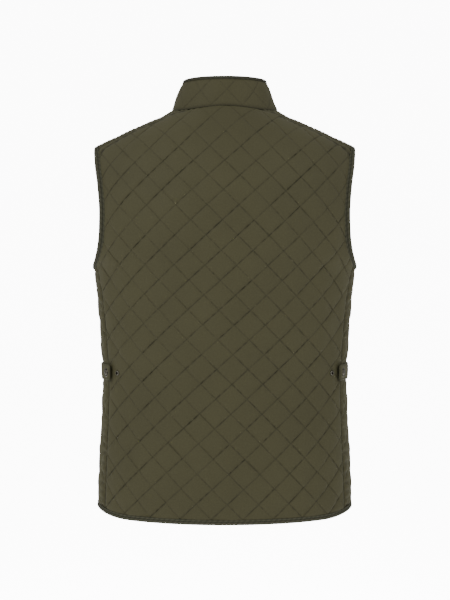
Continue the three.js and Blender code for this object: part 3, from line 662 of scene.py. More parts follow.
def colourRamp(nodes, links, source, stops):
    ramp = nodes.new("ShaderNodeValToRGB")
    ramp.color_ramp.elements[0].position, ramp.color_ramp.elements[1].position = stops[0][0], stops[-1][0]
    ramp.color_ramp.elements[0].color = (*stops[0][1], 1)
    ramp.color_ramp.elements[1].color = (*stops[-1][1], 1)
    links.new(source, ramp.inputs["Fac"])
    return ramp.outputs["Color"]


def tint(colour, share):
    return tuple(channel * share for channel in colour)


def clothMaterial():
    # a close plain weave with a little sheen, with painted shade where the thread pulls it in
    material, nodes, links, shader = startMaterial("quiltedCloth", 0.72)
    shader.inputs["Sheen Weight"].default_value = 0.12
    shader.inputs["Sheen Roughness"].default_value = 0.45
    shader.inputs["Sheen Tint"].default_value = (0.5, 0.5, 0.32, 1)
    shader.inputs["Specular IOR Level"].default_value = 0.28
    place = addNode(nodes, "ShaderNodeUVMap", {"uv_map": "flatCloth"})
    patches = addNode(nodes, "ShaderNodeTexNoise", Scale=9.0, Detail=3.0, Roughness=0.6)
    links.new(place.outputs["UV"], patches.inputs["Vector"])
    base = colourRamp(nodes, links, patches.outputs["Fac"],
                      [(0.3, tint(looks["cloth"], 0.94)), (0.7, tint(looks["cloth"], 1.06))])
    slub = addNode(nodes, "ShaderNodeTexNoise", Scale=420.0, Detail=2.0, Roughness=0.5)
    links.new(place.outputs["UV"], slub.inputs["Vector"])
    fleck = colourRamp(nodes, links, slub.outputs["Fac"], [(0.25, (0.9, 0.9, 0.9)), (0.75, (1.1, 1.1, 1.1))])
    flecked = addNode(nodes, "ShaderNodeMix", {"data_type": "RGBA", "blend_type": "MULTIPLY"})
    flecked.inputs["Factor"].default_value = 1.0
    links.new(base, flecked.inputs[6])
    links.new(fleck, flecked.inputs[7])
    darkenDitch(nodes, links, flecked.outputs[2], looks["clothShade"], 0.76, shader)
    weaveBump(nodes, links, place.outputs["UV"], shader, looks["weave"], 0.25, 0.00006)
    return material


def darkenDitch(nodes, links, colour, dark, share, shader):
    # painted shade: the colour turns dark where the surface lies in a ditch, and wherever else the ditch
    # attribute marks shade
    ditch = addNode(nodes, "ShaderNodeAttribute", {"attribute_name": "ditch"})
    shadeAmount = addNode(nodes, "ShaderNodeMath", {"operation": "MULTIPLY", "use_clamp": True})
    shadeAmount.inputs[1].default_value = share
    links.new(ditch.outputs["Fac"], shadeAmount.inputs[0])
    shaded = addNode(nodes, "ShaderNodeMix", {"data_type": "RGBA", "blend_type": "MIX"})
    links.new(shadeAmount.outputs["Value"], shaded.inputs["Factor"])
    links.new(colour, shaded.inputs[6])
    shaded.inputs[7].default_value = (*dark, 1)
    links.new(shaded.outputs[2], shader.inputs["Base Color"])


def weaveBump(nodes, links, place, shader, spacing, strength, depth):
    # over and under threads: two crossed wave patterns
    heights = []
    for direction in ("X", "Y"):
        wave = addNode(nodes, "ShaderNodeTexWave", {"wave_type": "BANDS", "bands_direction": direction},
                       Scale=1000 / spacing * 0.1, Distortion=0.3)
        wave.inputs["Detail Scale"].default_value = 1.0
        links.new(place, wave.inputs["Vector"])
        heights.append(wave.outputs["Fac"])
    crossed = addNode(nodes, "ShaderNodeMath", {"operation": "MAXIMUM"})
    links.new(heights[0], crossed.inputs[0])
    links.new(heights[1], crossed.inputs[1])
    bump = addNode(nodes, "ShaderNodeBump", Strength=strength, Distance=depth)
    links.new(crossed.outputs["Value"], bump.inputs["Height"])
    links.new(bump.outputs["Normal"], shader.inputs["Normal"])


def tapeMaterial():
    # bias tape: slanting ribs, matt and greyer than the cloth, with painted shade at its stitch line and inner
    # edge
    material, nodes, links, shader = startMaterial("bindingTape", 0.85)
    shader.inputs["Specular IOR Level"].default_value = 0.2
    place = addNode(nodes, "ShaderNodeUVMap", {"uv_map": "flatCloth"})
    turned = addNode(nodes, "ShaderNodeMapping")
    turned.inputs["Rotation"].default_value = (0, 0, math.radians(38))
    links.new(place.outputs["UV"], turned.inputs["Vector"])
    ribs = addNode(nodes, "ShaderNodeTexWave", {"wave_type": "BANDS", "bands_direction": "X"},
                   Scale=1000 / looks["tapeRib"] * 0.1, Distortion=0.6)
    links.new(turned.outputs["Vector"], ribs.inputs["Vector"])
    colour = colourRamp(nodes, links, ribs.outputs["Fac"],
                        [(0.0, tint(looks["tape"], 0.86)), (0.75, tint(looks["tape"], 1.18))])
    # painted shade, far darker than the tape, where the shade marks lie
    darkenDitch(nodes, links, colour, tint(looks["tape"], 0.3), 0.9, shader)
    bump = addNode(nodes, "ShaderNodeBump", Strength=0.5, Distance=0.0002)
    links.new(ribs.outputs["Fac"], bump.inputs["Height"])
    links.new(bump.outputs["Normal"], shader.inputs["Normal"])
    return material


def threadMaterial():
    material, nodes, links, shader = startMaterial("sewingThread", 0.7)
    place = addNode(nodes, "ShaderNodeTexCoord")
    noise = addNode(nodes, "ShaderNodeTexNoise", Scale=900.0, Detail=1.0)
    links.new(place.outputs["Object"], noise.inputs["Vector"])
    links.new(colourRamp(nodes, links, noise.outputs["Fac"],
                         [(0.3, tint(looks["thread"], 0.8)), (0.7, tint(looks["thread"], 1.2))]),
              shader.inputs["Base Color"])
    return material


def metalMaterial(name, colour, roughness):
    # dull plated metal with rubbed high spots
    material, nodes, links, shader = startMaterial(name, roughness, 1.0)
    place = addNode(nodes, "ShaderNodeTexCoord")
    noise = addNode(nodes, "ShaderNodeTexNoise", Scale=650.0, Detail=4.0, Roughness=0.6)
    links.new(place.outputs["Object"], noise.inputs["Vector"])
    links.new(colourRamp(nodes, links, noise.outputs["Fac"],
                         [(0.3, tint(colour, 0.75)), (0.7, tint(colour, 1.2))]),
              shader.inputs["Base Color"])
    rough = addNode(nodes, "ShaderNodeMapRange")
    rough.inputs["To Min"].default_value = roughness - 0.08
    rough.inputs["To Max"].default_value = roughness + 0.12
    links.new(noise.outputs["Fac"], rough.inputs["Value"])
    links.new(rough.outputs["Result"], shader.inputs["Roughness"])
    bump = addNode(nodes, "ShaderNodeBump", Strength=0.15, Distance=0.0001)
    links.new(noise.outputs["Fac"], bump.inputs["Height"])
    links.new(bump.outputs["Normal"], shader.inputs["Normal"])
    return material


clothLook, tapeLook, threadLook = clothMaterial(), tapeMaterial(), threadMaterial()
capLook = metalMaterial("studCap", looks["metal"], 0.23)
socketLook = metalMaterial("studSocket", looks["socket"], 0.2)
# near-black metal: painted shade for the studs' grooves and hollows
shadeLook = metalMaterial("studPaintedShade", (0.02, 0.019, 0.016), 0.6)
print("materials made")


# Stitches

stitch = {"length": 2.7, "pitch": 3.5, "thick": 0.42, "seed": 7}


def stitchTree():
    # sewn stitches along edge lines that carry an outward direction
    tree = bpy.data.node_groups.new("stitchesAlongLines", "GeometryNodeTree")
    face = tree.interface
    for name, kind, value in (("Lines", "NodeSocketGeometry", None), ("Pitch", "NodeSocketFloat", 0.0035),
                              ("Length", "NodeSocketFloat", 0.0027), ("Thickness", "NodeSocketFloat", 0.0004),
                              ("Unevenness", "NodeSocketFloat", 0.12), ("Seed", "NodeSocketInt", 0),
                              ("Thread", "NodeSocketMaterial", None)):
        socket = face.new_socket(name=name, in_out="INPUT", socket_type=kind)
        if value is not None:
            socket.default_value = value
    face.new_socket(name="Stitches", in_out="OUTPUT", socket_type="NodeSocketGeometry")
    nodes, links = tree.nodes, tree.links
    given, made = nodes.new("NodeGroupInput"), nodes.new("NodeGroupOutput")
    curve = addNode(nodes, "GeometryNodeMeshToCurve")
    spaced = addNode(nodes, "GeometryNodeResampleCurve", {"mode": "LENGTH"})
    bead = addNode(nodes, "GeometryNodeMeshUVSphere", Segments=5, Rings=3, Radius=0.5)
    size = addNode(nodes, "ShaderNodeCombineXYZ")
    shaped = addNode(nodes, "GeometryNodeTransform")
    tangent = addNode(nodes, "GeometryNodeInputTangent")
    along = addNode(nodes, "FunctionNodeAlignRotationToVector", {"axis": "Z"})
    outward = addNode(nodes, "GeometryNodeInputNamedAttribute", {"data_type": "FLOAT_VECTOR"}, Name="outward")
    upright = addNode(nodes, "FunctionNodeAlignRotationToVector", {"axis": "X", "pivot_axis": "Z"})
    least = addNode(nodes, "ShaderNodeMath", {"operation": "SUBTRACT"})
    least.inputs[0].default_value = 1.0
    varied = addNode(nodes, "FunctionNodeRandomValue", {"data_type": "FLOAT"})
    varied.inputs[3].default_value = 1.05
    placed = addNode(nodes, "GeometryNodeInstanceOnPoints")
    real = addNode(nodes, "GeometryNodeRealizeInstances")
    finish = addNode(nodes, "GeometryNodeSetMaterial")
    for source, output, target, socket in (
            (given, "Lines", curve, "Mesh"), (curve, "Curve", spaced, "Curve"),
            (given, "Pitch", spaced, "Length"), (given, "Thickness", size, "X"),
            (given, "Thickness", size, "Y"), (given, "Length", size, "Z"),
            (bead, "Mesh", shaped, "Geometry"), (size, "Vector", shaped, "Scale"),
            (tangent, "Tangent", along, "Vector"), (along, "Rotation", upright, "Rotation"),
            (outward, "Attribute", upright, "Vector"), (given, "Unevenness", least, 1),
            (least, "Value", varied, 2), (given, "Seed", varied, "Seed"),
            (spaced, "Curve", placed, "Points"), (shaped, "Geometry", placed, "Instance"),
            (upright, "Rotation", placed, "Rotation"), (varied, 1, placed, "Scale"),
            (placed, "Instances", real, "Geometry"), (real, "Geometry", finish, "Geometry"),
            (given, "Thread", finish, "Material"), (finish, "Geometry", made, "Stitches")):
        links.new(source.outputs[output], target.inputs[socket])
    return tree


stitches = stitchTree()


def sew(name, lines, thick=stitch["thick"], mirror=False):
    # lines: pairs of points and outward directions, in the form's millimetres
    points, edges, outward = [], [], []
    for line, normals in lines:
        if len(line) < 2:
            continue
        start = len(points)
        points += list(line)
        outward += list(normals)
        edges += [(start + k, start + k + 1) for k in range(len(line) - 1)]
    turn = [-1, 1, 1] if mirror else [1, 1, 1]
    world = (np.array(points) * turn - [0, 0, body["origin"]]) / 1000
    mesh = bpy.data.meshes.new(name + "Lines")
    mesh.from_pydata(world.tolist(), edges, [])
    attribute = mesh.attributes.new("outward", "FLOAT_VECTOR", "POINT")
    attribute.data.foreach_set("vector", (np.array(outward) * turn).astype(np.float32).ravel())
    guide = bpy.data.objects.new(name + "Lines", mesh)
    bpy.context.collection.objects.link(guide)
    modifier = guide.modifiers.new("stitches", "NODES")
    modifier.node_group = stitches
    values = {"Pitch": stitch["pitch"] / 1000, "Length": stitch["length"] / 1000,
              "Thickness": thick / 1000, "Seed": stitch["seed"], "Thread": threadLook}
    for socket in stitches.interface.items_tree:
        if socket.item_type == "SOCKET" and socket.name in values:
            modifier[socket.identifier] = values[socket.name]
    seen = guide.evaluated_get(bpy.context.evaluated_depsgraph_get())
    sewn = bpy.data.meshes.new_from_object(seen)
    sewn.name = name
    sewn.shade_smooth()
    bpy.data.objects.remove(guide)
    obj = bpy.data.objects.new(name, sewn)
    bpy.context.collection.objects.link(obj)
    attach(obj, "root")
    print(name, len(sewn.polygons), "faces")


def quiltLines(edges, placing, outAt):
    # the quilting's sewn lines over one panel, cut off short of its edges
    outline = joined(edges)
    edgeDistance = distanceFromRim(outline)
    i, j = latticeOf(outline)
    found = []
    for family, cell, other in (("rising", i, j), ("falling", j, i)):
        for k in range(math.ceil(cell.min()), math.floor(cell.max()) + 1):
            across = np.arange(other.min() - 0.2, other.max() + 0.2, 0.07)
            fixed = np.full(len(across), float(k))
            flat = flatOf(fixed, across) if family == "rising" else flatOf(across, fixed)
            keep = insideOf(outline, flat) & (edgeDistance(flat) > quilting["threadStops"])
            for run in np.split(np.arange(len(flat)), np.flatnonzero(np.diff(keep.astype(int))) + 1):
                if keep[run[0]] and len(run) > 2:
                    line = flat[run]
                    out = outAt(line)[0] + 0.1
                    surface = placing(*line.T, out)
                    normals = unit(placing(*line.T, out + 1) - surface)
                    found.append((surface, normals))
    return found


# Panels

tape = {
    # the folded tape's outside, from its inner edge over the fold to the inside: how far in, and out
    "section": [(8.3, 0.35), (8.15, 0.95), (7.6, 1.3), (6.9, 1.42), (6.0, 1.38), (5.3, 1.1), (4.9, 0.72),
                (4.5, 1.1), (3.6, 1.6), (2.5, 1.85), (1.3, 1.9), (0.4, 1.6), (-0.05, 0.8), (-0.1, -0.7),
                (0.2, -1.9), (1.0, -2.6), (2.2, -2.95), (3.6, -2.9), (4.9, -2.4), (6.2, -2.7), (7.6, -2.75),
                (8.3, -2.5)],
    "stitch": (4.9, 0.84),
    "collarSection": [(5.2, 0.35), (5.05, 0.95), (4.4, 1.15), (3.6, 0.98), (3.1, 0.64), (2.6, 1.0),
                      (1.8, 1.5), (0.9, 1.4), (0.2, 0.8), (-0.05, -0.2), (0.0, -1.3), (0.7, -2.2),
                      (1.8, -2.5), (3.1, -2.15), (4.4, -2.4), (5.2, -2.25)],
    "collarStitch": (3.1, 0.78),
    "thick": 0.55,
    "lean": 0.8,  # how far an armhole's tape turns towards the panel, as a slope
}


def leanAt(climb):
    return tape["lean"] * (0.15 + 0.85 * smooth(390, 440, climb)) * (1 - smooth(575, 607, climb))


armhole = armholeLoop(60)
armhole["lean"] = leanAt(climbTo(armhole["angle"], armhole["level"]))
tapeWidth = 8
tuck = 2.2  # how far each panel runs in under its binding
seamGap = 0.12  # how far each panel stops short of its seams
edgeStep = 2.4

panelCreases = {
    # middle u and v, direction in degrees, half length, half width, height (below nought is a hollow)
    "back": [
        (-150, 500, 62, 75, 11, 1.5), (-128, 470, 70, 60, 9, -1.1), (158, 512, 118, 80, 12, 1.4),
        (120, 560, 150, 60, 10, -1.0), (-60, 590, 28, 70, 13, 1.2), (70, 610, 160, 55, 10, 1.1),
        (-165, 330, 78, 70, 10, 1.2), (168, 300, 100, 85, 11, 1.3), (-90, 250, 12, 90, 14, 0.9),
        (60, 330, 171, 110, 15, -0.9), (100, 180, 24, 80, 12, 1.1), (-140, 130, 145, 75, 12, 1.1),
        (20, 90, 6, 100, 14, 0.9), (150, 90, 62, 60, 10, -0.9), (-40, 420, 94, 60, 13, 0.8)],
    "left": [
        (150, 470, 65, 80, 11, 1.4), (120, 520, 80, 60, 10, -1.1), (60, 560, 140, 60, 12, 1.2),
        (190, 330, 98, 80, 11, 1.2), (70, 360, 12, 70, 14, 1.0), (120, 210, 165, 90, 13, 1.1),
        (40, 120, 20, 60, 12, -0.8), (170, 90, 120, 65, 11, 1.2), (30, 250, 90, 70, 10, 0.8)],
    "right": [
        (160, 455, 72, 70, 10, 1.4), (108, 540, 95, 55, 11, -1.0), (50, 580, 150, 50, 12, 1.1),
        (200, 300, 84, 75, 10, 1.3), (90, 330, 170, 85, 13, 1.0), (60, 190, 14, 80, 14, -0.9),
        (150, 150, 30, 70, 11, 1.1), (40, 60, 160, 55, 12, 1.0)],
}


def halfEdges(cloth):
    # side seam, armhole and shoulder of a front or of one half of the back, going up
    return [sideCut(cloth, seamGap), armholeCut(cloth, tapeWidth - tuck), shoulderCut(cloth, seamGap)]


def flipped(line):
    return (line * [-1, 1])[::-1]


def backEdges():
    turn = np.linspace(2, -2, 120)
    neck = toFlat(backCloth, *neckPlace(np.abs(turn), False)) * np.stack([np.sign(turn), np.ones(120)], 1)
    half = halfEdges(backCloth)
    hem = hemCut(backCloth, -1.5, 1.5, tapeWidth - tuck)
    return outlineOf([hem, *half, neck, *[flipped(line) for line in half[::-1]]], edgeStep)


def frontEdges(cloth):
    turn = np.linspace(0.85, math.pi + 0.4, 120)
    past = turn > math.pi
    neck = toFlat(cloth, *neckPlace(np.where(past, 2 * math.pi - turn, turn), True))
    neck = neck * np.stack([np.where(past, -1, 1), np.ones(120)], 1)
    inner = -body["lap"] + tapeWidth - tuck
    opening = np.array([[inner, 900.0], [inner, -200.0]])
    hem = hemCut(cloth, math.pi + 0.25, math.radians(58), tapeWidth - tuck)
    return outlineOf([hem, *halfEdges(cloth), neck, opening], edgeStep)


tab = {
    "height": 224, "width": 26, "corner": 4.5,
    "end": 63.8, "root": 99,  # degrees round
    "top": 2.95, "under": 0.75,
    "standOff": 3.3, "standLength": 28,  # how far the free end stands off, and how soon that ends
    "stitchIn": 2.6, "stitchOut": 2.75,
    "capIn": 11.5, "capOut": 4.6, "spareBeyond": 13, "spareOut": 0.7,
}
padding = {
    # shares of it that lie flat under a tab and its studs, and the distances over which it rises again
    "tab": 0.85, "spare": 0.8, "stud": 0.85, "besideSpare": (3.5, 9), "besideStud": (7, 12),
}
tabEnd = toFlat(backCloth, np.radians([tab["end"]]), np.array([float(tab["height"])]))[0]
tabRoot = toFlat(backCloth, np.radians([tab["root"]]), np.array([float(tab["height"])]))[0]
spareAt = tabEnd - [tab["spareBeyond"], 0]
frontStuds = {"lowest": 60, "apart": 96, "count": 6}
frontStudHeights = [frontStuds["lowest"] + frontStuds["apart"] * i for i in range(frontStuds["count"])]


def tabShare(near, points, place):
    # 1 under a tab, fading out beyond its long sides
    return near * smooth(-5, 0, tab["width"] / 2 - np.abs(points[:, 1] - place[1]) + 3)


def besideStud(distance):
    return 1 - padding["stud"] * (1 - smooth(*padding["besideStud"], distance))


def pressed(points, cloth):
    # how far the padding is left standing: it is flat under the tabs and studs
    share = np.ones(len(points))
    if cloth is backCloth:
        for side in (1, -1):
            u = points[:, 0] * side
            under = tabShare(smooth(-13, -4, u - tabEnd[0]), points, tabEnd)
            spare = np.hypot(u - spareAt[0], points[:, 1] - spareAt[1])
            risen = smooth(*padding["besideSpare"], spare)
            share = share * (1 - padding["tab"] * under) * (1 - padding["spare"] * (1 - risen))
    else:
        seam = toFlat(cloth, np.radians([tab["root"]]), np.array([float(tab["height"])]))[0]
        share = share * (1 - padding["tab"] * tabShare(smooth(-5, 1, points[:, 0] - seam[0]), points, seam))
        if cloth is lappedCloth:
            for v in frontStudHeights:
                share = share * besideStud(np.hypot(points[:, 0], points[:, 1] - v))
    return share


relief = {
    "edgeDip": 0.5, "edgePucker": 0.3,
    "gather": 1.1, "shoulderDip": 1.6,  # of the shoulder seams
    "topstitch": 4.2, "topstitchDepth": 0.35,  # of the back, beside the side seams
    "shoulderStitch": 13, "shoulderStitchDepth": 1.3,  # of the back, behind the shoulder seams
    "bumps": 1.2, "bumpShade": 0.8, "bumpReach": 22,  # of the fronts, beside the side seams, with painted shade in the hollows of the bumps
    "inside": -1.7,
}


def panelRelief(edges, cloth, creases):
    onBack = cloth is backCloth
    edgeDistance = distanceFrom(edges)
    sideDistance, armholeDistance, shoulderDistance = [
        distanceFrom([edges[k] for k in (pair if onBack else pair[:1])]) for pair in ((1, 7), (2, 6), (3, 5))]

    def settled(points):
        # the cloth dips beside the armhole binding, which stands up a little
        away = armholeDistance(points)
        dip = leanAt(points[:, 1]) * (tapeWidth - tuck) * (1 + away / 6) * np.exp(-away / 8)
        return creasesAt(points, creases) * smooth(0, 25, edgeDistance(points)) - dip

    def outer(points):
        u, v = points.T
        edge, side, shoulder = edgeDistance(points), sideDistance(points), shoulderDistance(points)
        quilted, ditch = quiltedAt(points)
        rise = smooth(0, quilting["edgeFade"], edge) * pressed(points, cloth)
        out = quilted * rise + settled(points) - relief["edgeDip"] * np.exp(-edge / 0.8)
        pucker = np.sin(v / 1.9 + 3 * np.sin(v / 17)) * strongestAt(4, edge)
        out = out + relief["edgePucker"] * pucker * (0.4 + 0.6 * np.sin(v / 31) ** 2)
        gather = np.sin(u / 1.3 + 2 * np.sin(u / 13)) * strongestAt(6, shoulder)
        out = out + relief["gather"] * gather * (0.6 + 0.4 * np.sin(u / 21))
        out = out - relief["shoulderDip"] * bell(shoulder, 5)
        if onBack:
            topstitch = bell(side - relief["topstitch"], 0.7)
            crushed = bell(shoulder - relief["shoulderStitch"], 3)
            out = out - relief["topstitchDepth"] * topstitch - relief["shoulderStitchDepth"] * crushed
            ditch = ditch * smooth(0, 2, edge)
            sewn = np.maximum(topstitch, crushed * (2.0 + 1.2 * np.sin(u / 2.6)))
        else:
            bumps = np.sin(v / 2.1 + 2.5 * np.sin(v / 23)) * (0.6 + 0.4 * np.sin(v / 47)) * strongestAt(6, side)
            out = out + relief["bumps"] * bumps
            shadeMarks = relief["bumpShade"] * np.maximum(0, -bumps) * (side < relief["bumpReach"])
            ditch = np.maximum(ditch, shadeMarks) * smooth(0, 2, edge)
            sewn = 0 * side
        ditch = ditch * np.where(side < relief["topstitch"], 0.3, 1)
        # painted shade: darker along the panel's cut edges and the shoulder seam, as well as in the quilting
        # lines, the back's topstitching and the bumps' hollows
        seams = np.maximum(1.1 * bell(edge, 0.8), 0.9 * bell(shoulder, 2.8))
        return out, np.maximum(ditch, np.maximum(seams, 0.6 * sewn))

    def inner(points):
        quilted, _ = quiltedAt(points)
        return relief["inside"] - 0.3 * quilted * smooth(0, 8, edgeDistance(points)) + settled(points)
    return outer, inner


def panel(name, cloth, edges, creases, mirror=False):
    placing = partial(placeOn, cloth)
    outer, inner = panelRelief(edges, cloth, creases)
    obj = clothShell(name, edges, placing, outer, inner, clothLook, mirror)
    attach(obj, "root")
    sew(name + "Stitching", quiltLines(edges, placing, outer), mirror=mirror)
    return obj


back = panel("backPanel", backCloth, backEdges(), panelCreases["back"])
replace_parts(back, "back_panel")
frontLeft = panel("frontLeftPanel", lappedCloth, frontEdges(lappedCloth), panelCreases["left"])
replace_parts(frontLeft, "front_left_panel")
frontRight = panel("frontRightPanel", frontCloth, frontEdges(frontCloth), panelCreases["right"], mirror=True)
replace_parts(frontRight, "front_right_panel")
print("panels made")


# Collar

collar = {
    "height": 47, "halfWidth": 67.5, "back": 61.5, "front": 80, "top": 699.5, "frontDrop": 45,
    "bulge": 0.4, "corner": 14, "foot": -1.0, "tape": 5, "tuck": 1.8,
    "padding": 0.45, "face": 0.8, "footRoll": 2.6, "inside": -1.8,
    "creases": [(-60, 24, 84, 22, 8, 0.8), (35, 20, 100, 20, 9, -0.7), (120, 25, 80, 20, 8, 0.9),
                (-150, 22, 95, 20, 9, 0.8)],
}


def neckStop(turn):
    folded = np.where(np.abs(turn) > math.pi, 2 * math.pi - np.abs(turn), np.abs(turn))
    angle, level = neckPlace(folded, folded > math.pi / 2)
    fromFront = toFlat(frontCloth, angle, level)[..., 0] * np.where(turn > math.pi, -1, 1)
    lift = np.where(turn > math.pi / 2, liftAt(lappedCloth, fromFront), 0)
    normal = formSlopes(angle, level)[2]
    side = np.stack([np.where(np.sin(turn) < 0, -1, 1), np.ones_like(turn), np.ones_like(turn)], -1)
    return onForm(angle, level) * side, normal * side * lift[..., None]


def collarForm(turn, share):
    point, lift = neckStop(turn)
    depth, lean = (collar["back"] + collar["front"]) / 2, (collar["back"] - collar["front"]) / 2
    across, behind = np.sin(turn), np.cos(turn)
    top = np.stack([collar["halfWidth"] * across, behind * (depth + lean * behind),
                    collar["top"] - collar["frontDrop"] * smooth(-0.1, 1.1, -behind)], -1)
    bulge = collar["bulge"] * np.sin(math.pi * share)
    outward = np.stack([across, behind, 0 * behind], -1) * bulge[..., None]
    return point + (top - point) * share[..., None] + outward + lift


neckTurns = np.linspace(0, math.pi + 0.5, 145)
neckLine = neckStop(neckTurns)[0]
neckLengths = np.concatenate([[0], np.cumsum(np.linalg.norm(np.diff(neckLine, axis=0), axis=1))])
neckHalf = float(neckLengths[np.argmax(neckTurns >= math.pi)])
collarEnd = neckHalf + body["lap"]


def placeOnCollar(u, v, out):
    turn = np.sign(u) * np.interp(np.abs(u), neckLengths, neckTurns)
    share = v / collar["height"]
    around = collarForm(turn + 0.01, share) - collarForm(turn - 0.01, share)
    climb = collarForm(turn, share + 0.01) - collarForm(turn, share - 0.01)
    return collarForm(turn, share) + unit(np.cross(climb, around)) * np.asarray(out)[..., None]


def collarEdge(inset, foot):
    # right end, round the top to the left end, so far in from the finished edge
    radius = collar["corner"] - inset
    end, top = collarEnd - inset, collar["height"] - inset
    turn = np.linspace(0, math.pi / 2, 9)
    left = np.stack([-(end - radius + radius * np.cos(turn)), top - radius + radius * np.sin(turn)], 1)
    return np.vstack([[[-end, foot]], left, (left * [-1, 1])[::-1], [[end, foot]]])


def makeCollar():
    top = evenly(collarEdge(collar["tape"] - collar["tuck"], collar["foot"]), edgeStep)
    edges = [top, evenly(np.array([top[-1], top[0]]), edgeStep)]
    edgeDistance = distanceFrom(edges)

    def outer(points):
        edge = edgeDistance(points)
        quilted, ditch = quiltedAt(points)
        stud = np.hypot(points[:, 0] - neckHalf, points[:, 1] - collar["height"] / 2)
        rise = smooth(0, quilting["edgeFade"], edge) * besideStud(stud)
        out = (quilted * collar["padding"] + collar["face"]) * rise - relief["edgeDip"] * np.exp(-edge / 0.8)
        out = out + creasesAt(points, collar["creases"]) * smooth(0, 12, edge)
        out = out + collar["footRoll"] * np.exp(-(points[:, 1] - collar["foot"]) / 7)
        # painted shade in the quilting lines and, stronger, along the collar's edges
        return out, np.maximum(ditch * smooth(0, 2, edge) * 0.5, 1.3 * bell(edge, 2.0))

    def inner(points):
        return np.full(len(points), collar["inside"])
    obj = clothShell("collarCloth", edges, placeOnCollar, outer, inner, clothLook)
    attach(obj, "root")
    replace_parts(obj, "collar")
    sew("collarStitching", quiltLines(edges, placeOnCollar, outer), thick=0.36)


makeCollar()
print("collar made")


# Bindings

def folded(outside):
    # the tape's outside and, a thickness within it, its inside
    outside = np.array(outside, float)
    along = unit(np.gradient(outside, axis=0))
    within = outside + tape["thick"] * np.stack([-along[:, 1], along[:, 0]], 1)
    return np.vstack([outside, within[::-1]])


def tapeWobble(along, out):
    pull = np.sin(along / 0.56 + np.sin(along / 7)) * 0.07 * smooth(0, 3, out + 1)
    slow = 0.16 * np.sin(along / 13 + 2 * np.sin(along / 41)) * smooth(-1, 2, out)
    return pull + slow


def bindingPiece(name, node, path, section, stitchPlace, closed=False, mirror=False):
    stitchIn, stitchOut = stitchPlace
    inFrom, outTo = np.array(section).T
    shadeMarks = bell(inFrom - stitchIn, 0.5) + bell(inFrom - inFrom[0], 0.4)  # painted shade at the stitches and the inner edge
    shadeMarks = np.concatenate([shadeMarks * (outTo > 0), 0 * shadeMarks])
    obj = sweep(name, path, folded(section), shadeMarks, tapeLook, closed, tapeWobble, mirror)
    out = stitchOut - path["lean"] * stitchIn
    line = path["points"] + path["inward"] * stitchIn + path["normals"] * out[:, None]
    normals = path["normals"]
    if closed:
        line, normals = np.vstack([line, line[:1]]), np.vstack([normals, normals[:1]])
    sew(name + "Stitching", [(line, normals)], thick=0.5, mirror=mirror)
    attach(obj, "root")
    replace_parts(obj, node)


def formPath(angle, level, lift):
    normals = formSlopes(angle, level)[2]
    return withInward(angle, level, onForm(angle, level) + normals * lift[:, None], normals, False)


def hemPath():
    end = math.pi + body["lap"] / float(halfWidthAt(0))
    angle = np.linspace(-end, end, 520)
    fromFront = -girth(math.pi, np.abs(angle), 0)[0]
    level = hemLevel(np.minimum(np.abs(angle), math.pi))
    return formPath(angle, level, np.where(angle > math.pi / 2, liftAt(lappedCloth, fromFront), 0))


def openingPath(cloth):
    low = float(toFlat(cloth, math.pi, hemLevel(math.pi))[1]) + tapeWidth - 1.5
    high = float(toFlat(cloth, *neckPlace(math.pi, True))[1]) - 0.8
    v = np.linspace(low, high, 280)
    u = np.full(280, -float(body["lap"]))
    return formPath(*fromFlat(cloth, u, v), liftAt(cloth, u))


def collarPath():
    edge = evenly(collarEdge(0, collar["foot"]), 1.6)
    inner = evenly(collarEdge(collar["tape"], collar["foot"]), 0.5)
    inner = evenly(inner, np.linalg.norm(np.diff(inner, axis=0), axis=1).sum() / (len(edge) - 1))
    points = placeOnCollar(*edge.T, np.zeros(len(edge)))
    normals = unit(placeOnCollar(*edge.T, np.ones(len(edge))) - points)
    towards = placeOnCollar(*inner[:len(edge)].T, np.zeros(len(edge)))
    inward = unit(towards - points)
    tangent = unit(np.gradient(points, axis=0))
    inward = unit(inward - tangent * (inward * tangent).sum(1, keepdims=True))
    return {"points": points, "normals": normals, "inward": inward, "lean": np.zeros(len(points))}


for side, flips in (("Left", False), ("Right", True)):
    bindingPiece(f"armhole{side}Tape", f"armhole_{side.lower()}_binding", armhole,
                 tape["section"], tape["stitch"], closed=True, mirror=flips)
    bindingPiece(f"front{side}Tape", f"front_{side.lower()}_binding",
                 openingPath(frontCloth if flips else lappedCloth), tape["section"], tape["stitch"], mirror=flips)
bindingPiece("hemTape", "hem_binding", hemPath(), tape["section"], tape["stitch"])
bindingPiece("collarTape", "collar_binding", collarPath(), tape["collarSection"], tape["collarStitch"])
print("bindings made")


# Adjuster tabs

def tabForm():
    # a tab's outline, square where it is sewn in and rounded at its free end
    low, high = tabEnd[1] - tab["width"] / 2, tabEnd[1] + tab["width"] / 2
    turn = np.linspace(0, math.pi / 2, 8)
    corner = tab["corner"]
    upper = np.stack([tabEnd[0] + corner - corner * np.sin(turn), high - corner + corner * np.cos(turn)], 1)
    lower = np.stack([upper[::-1, 0], low + high - upper[::-1, 1]], 1)
    root = tabRoot[0]
    return evenly(np.vstack([[[root, high]], upper, lower, [[root, low]], [[root, high]]]), 1.1)[:-1]


def standOff(flat):
    return tab["standOff"] * (1 - smooth(0, tab["standLength"], flat[:, 0] - tabEnd[0]))


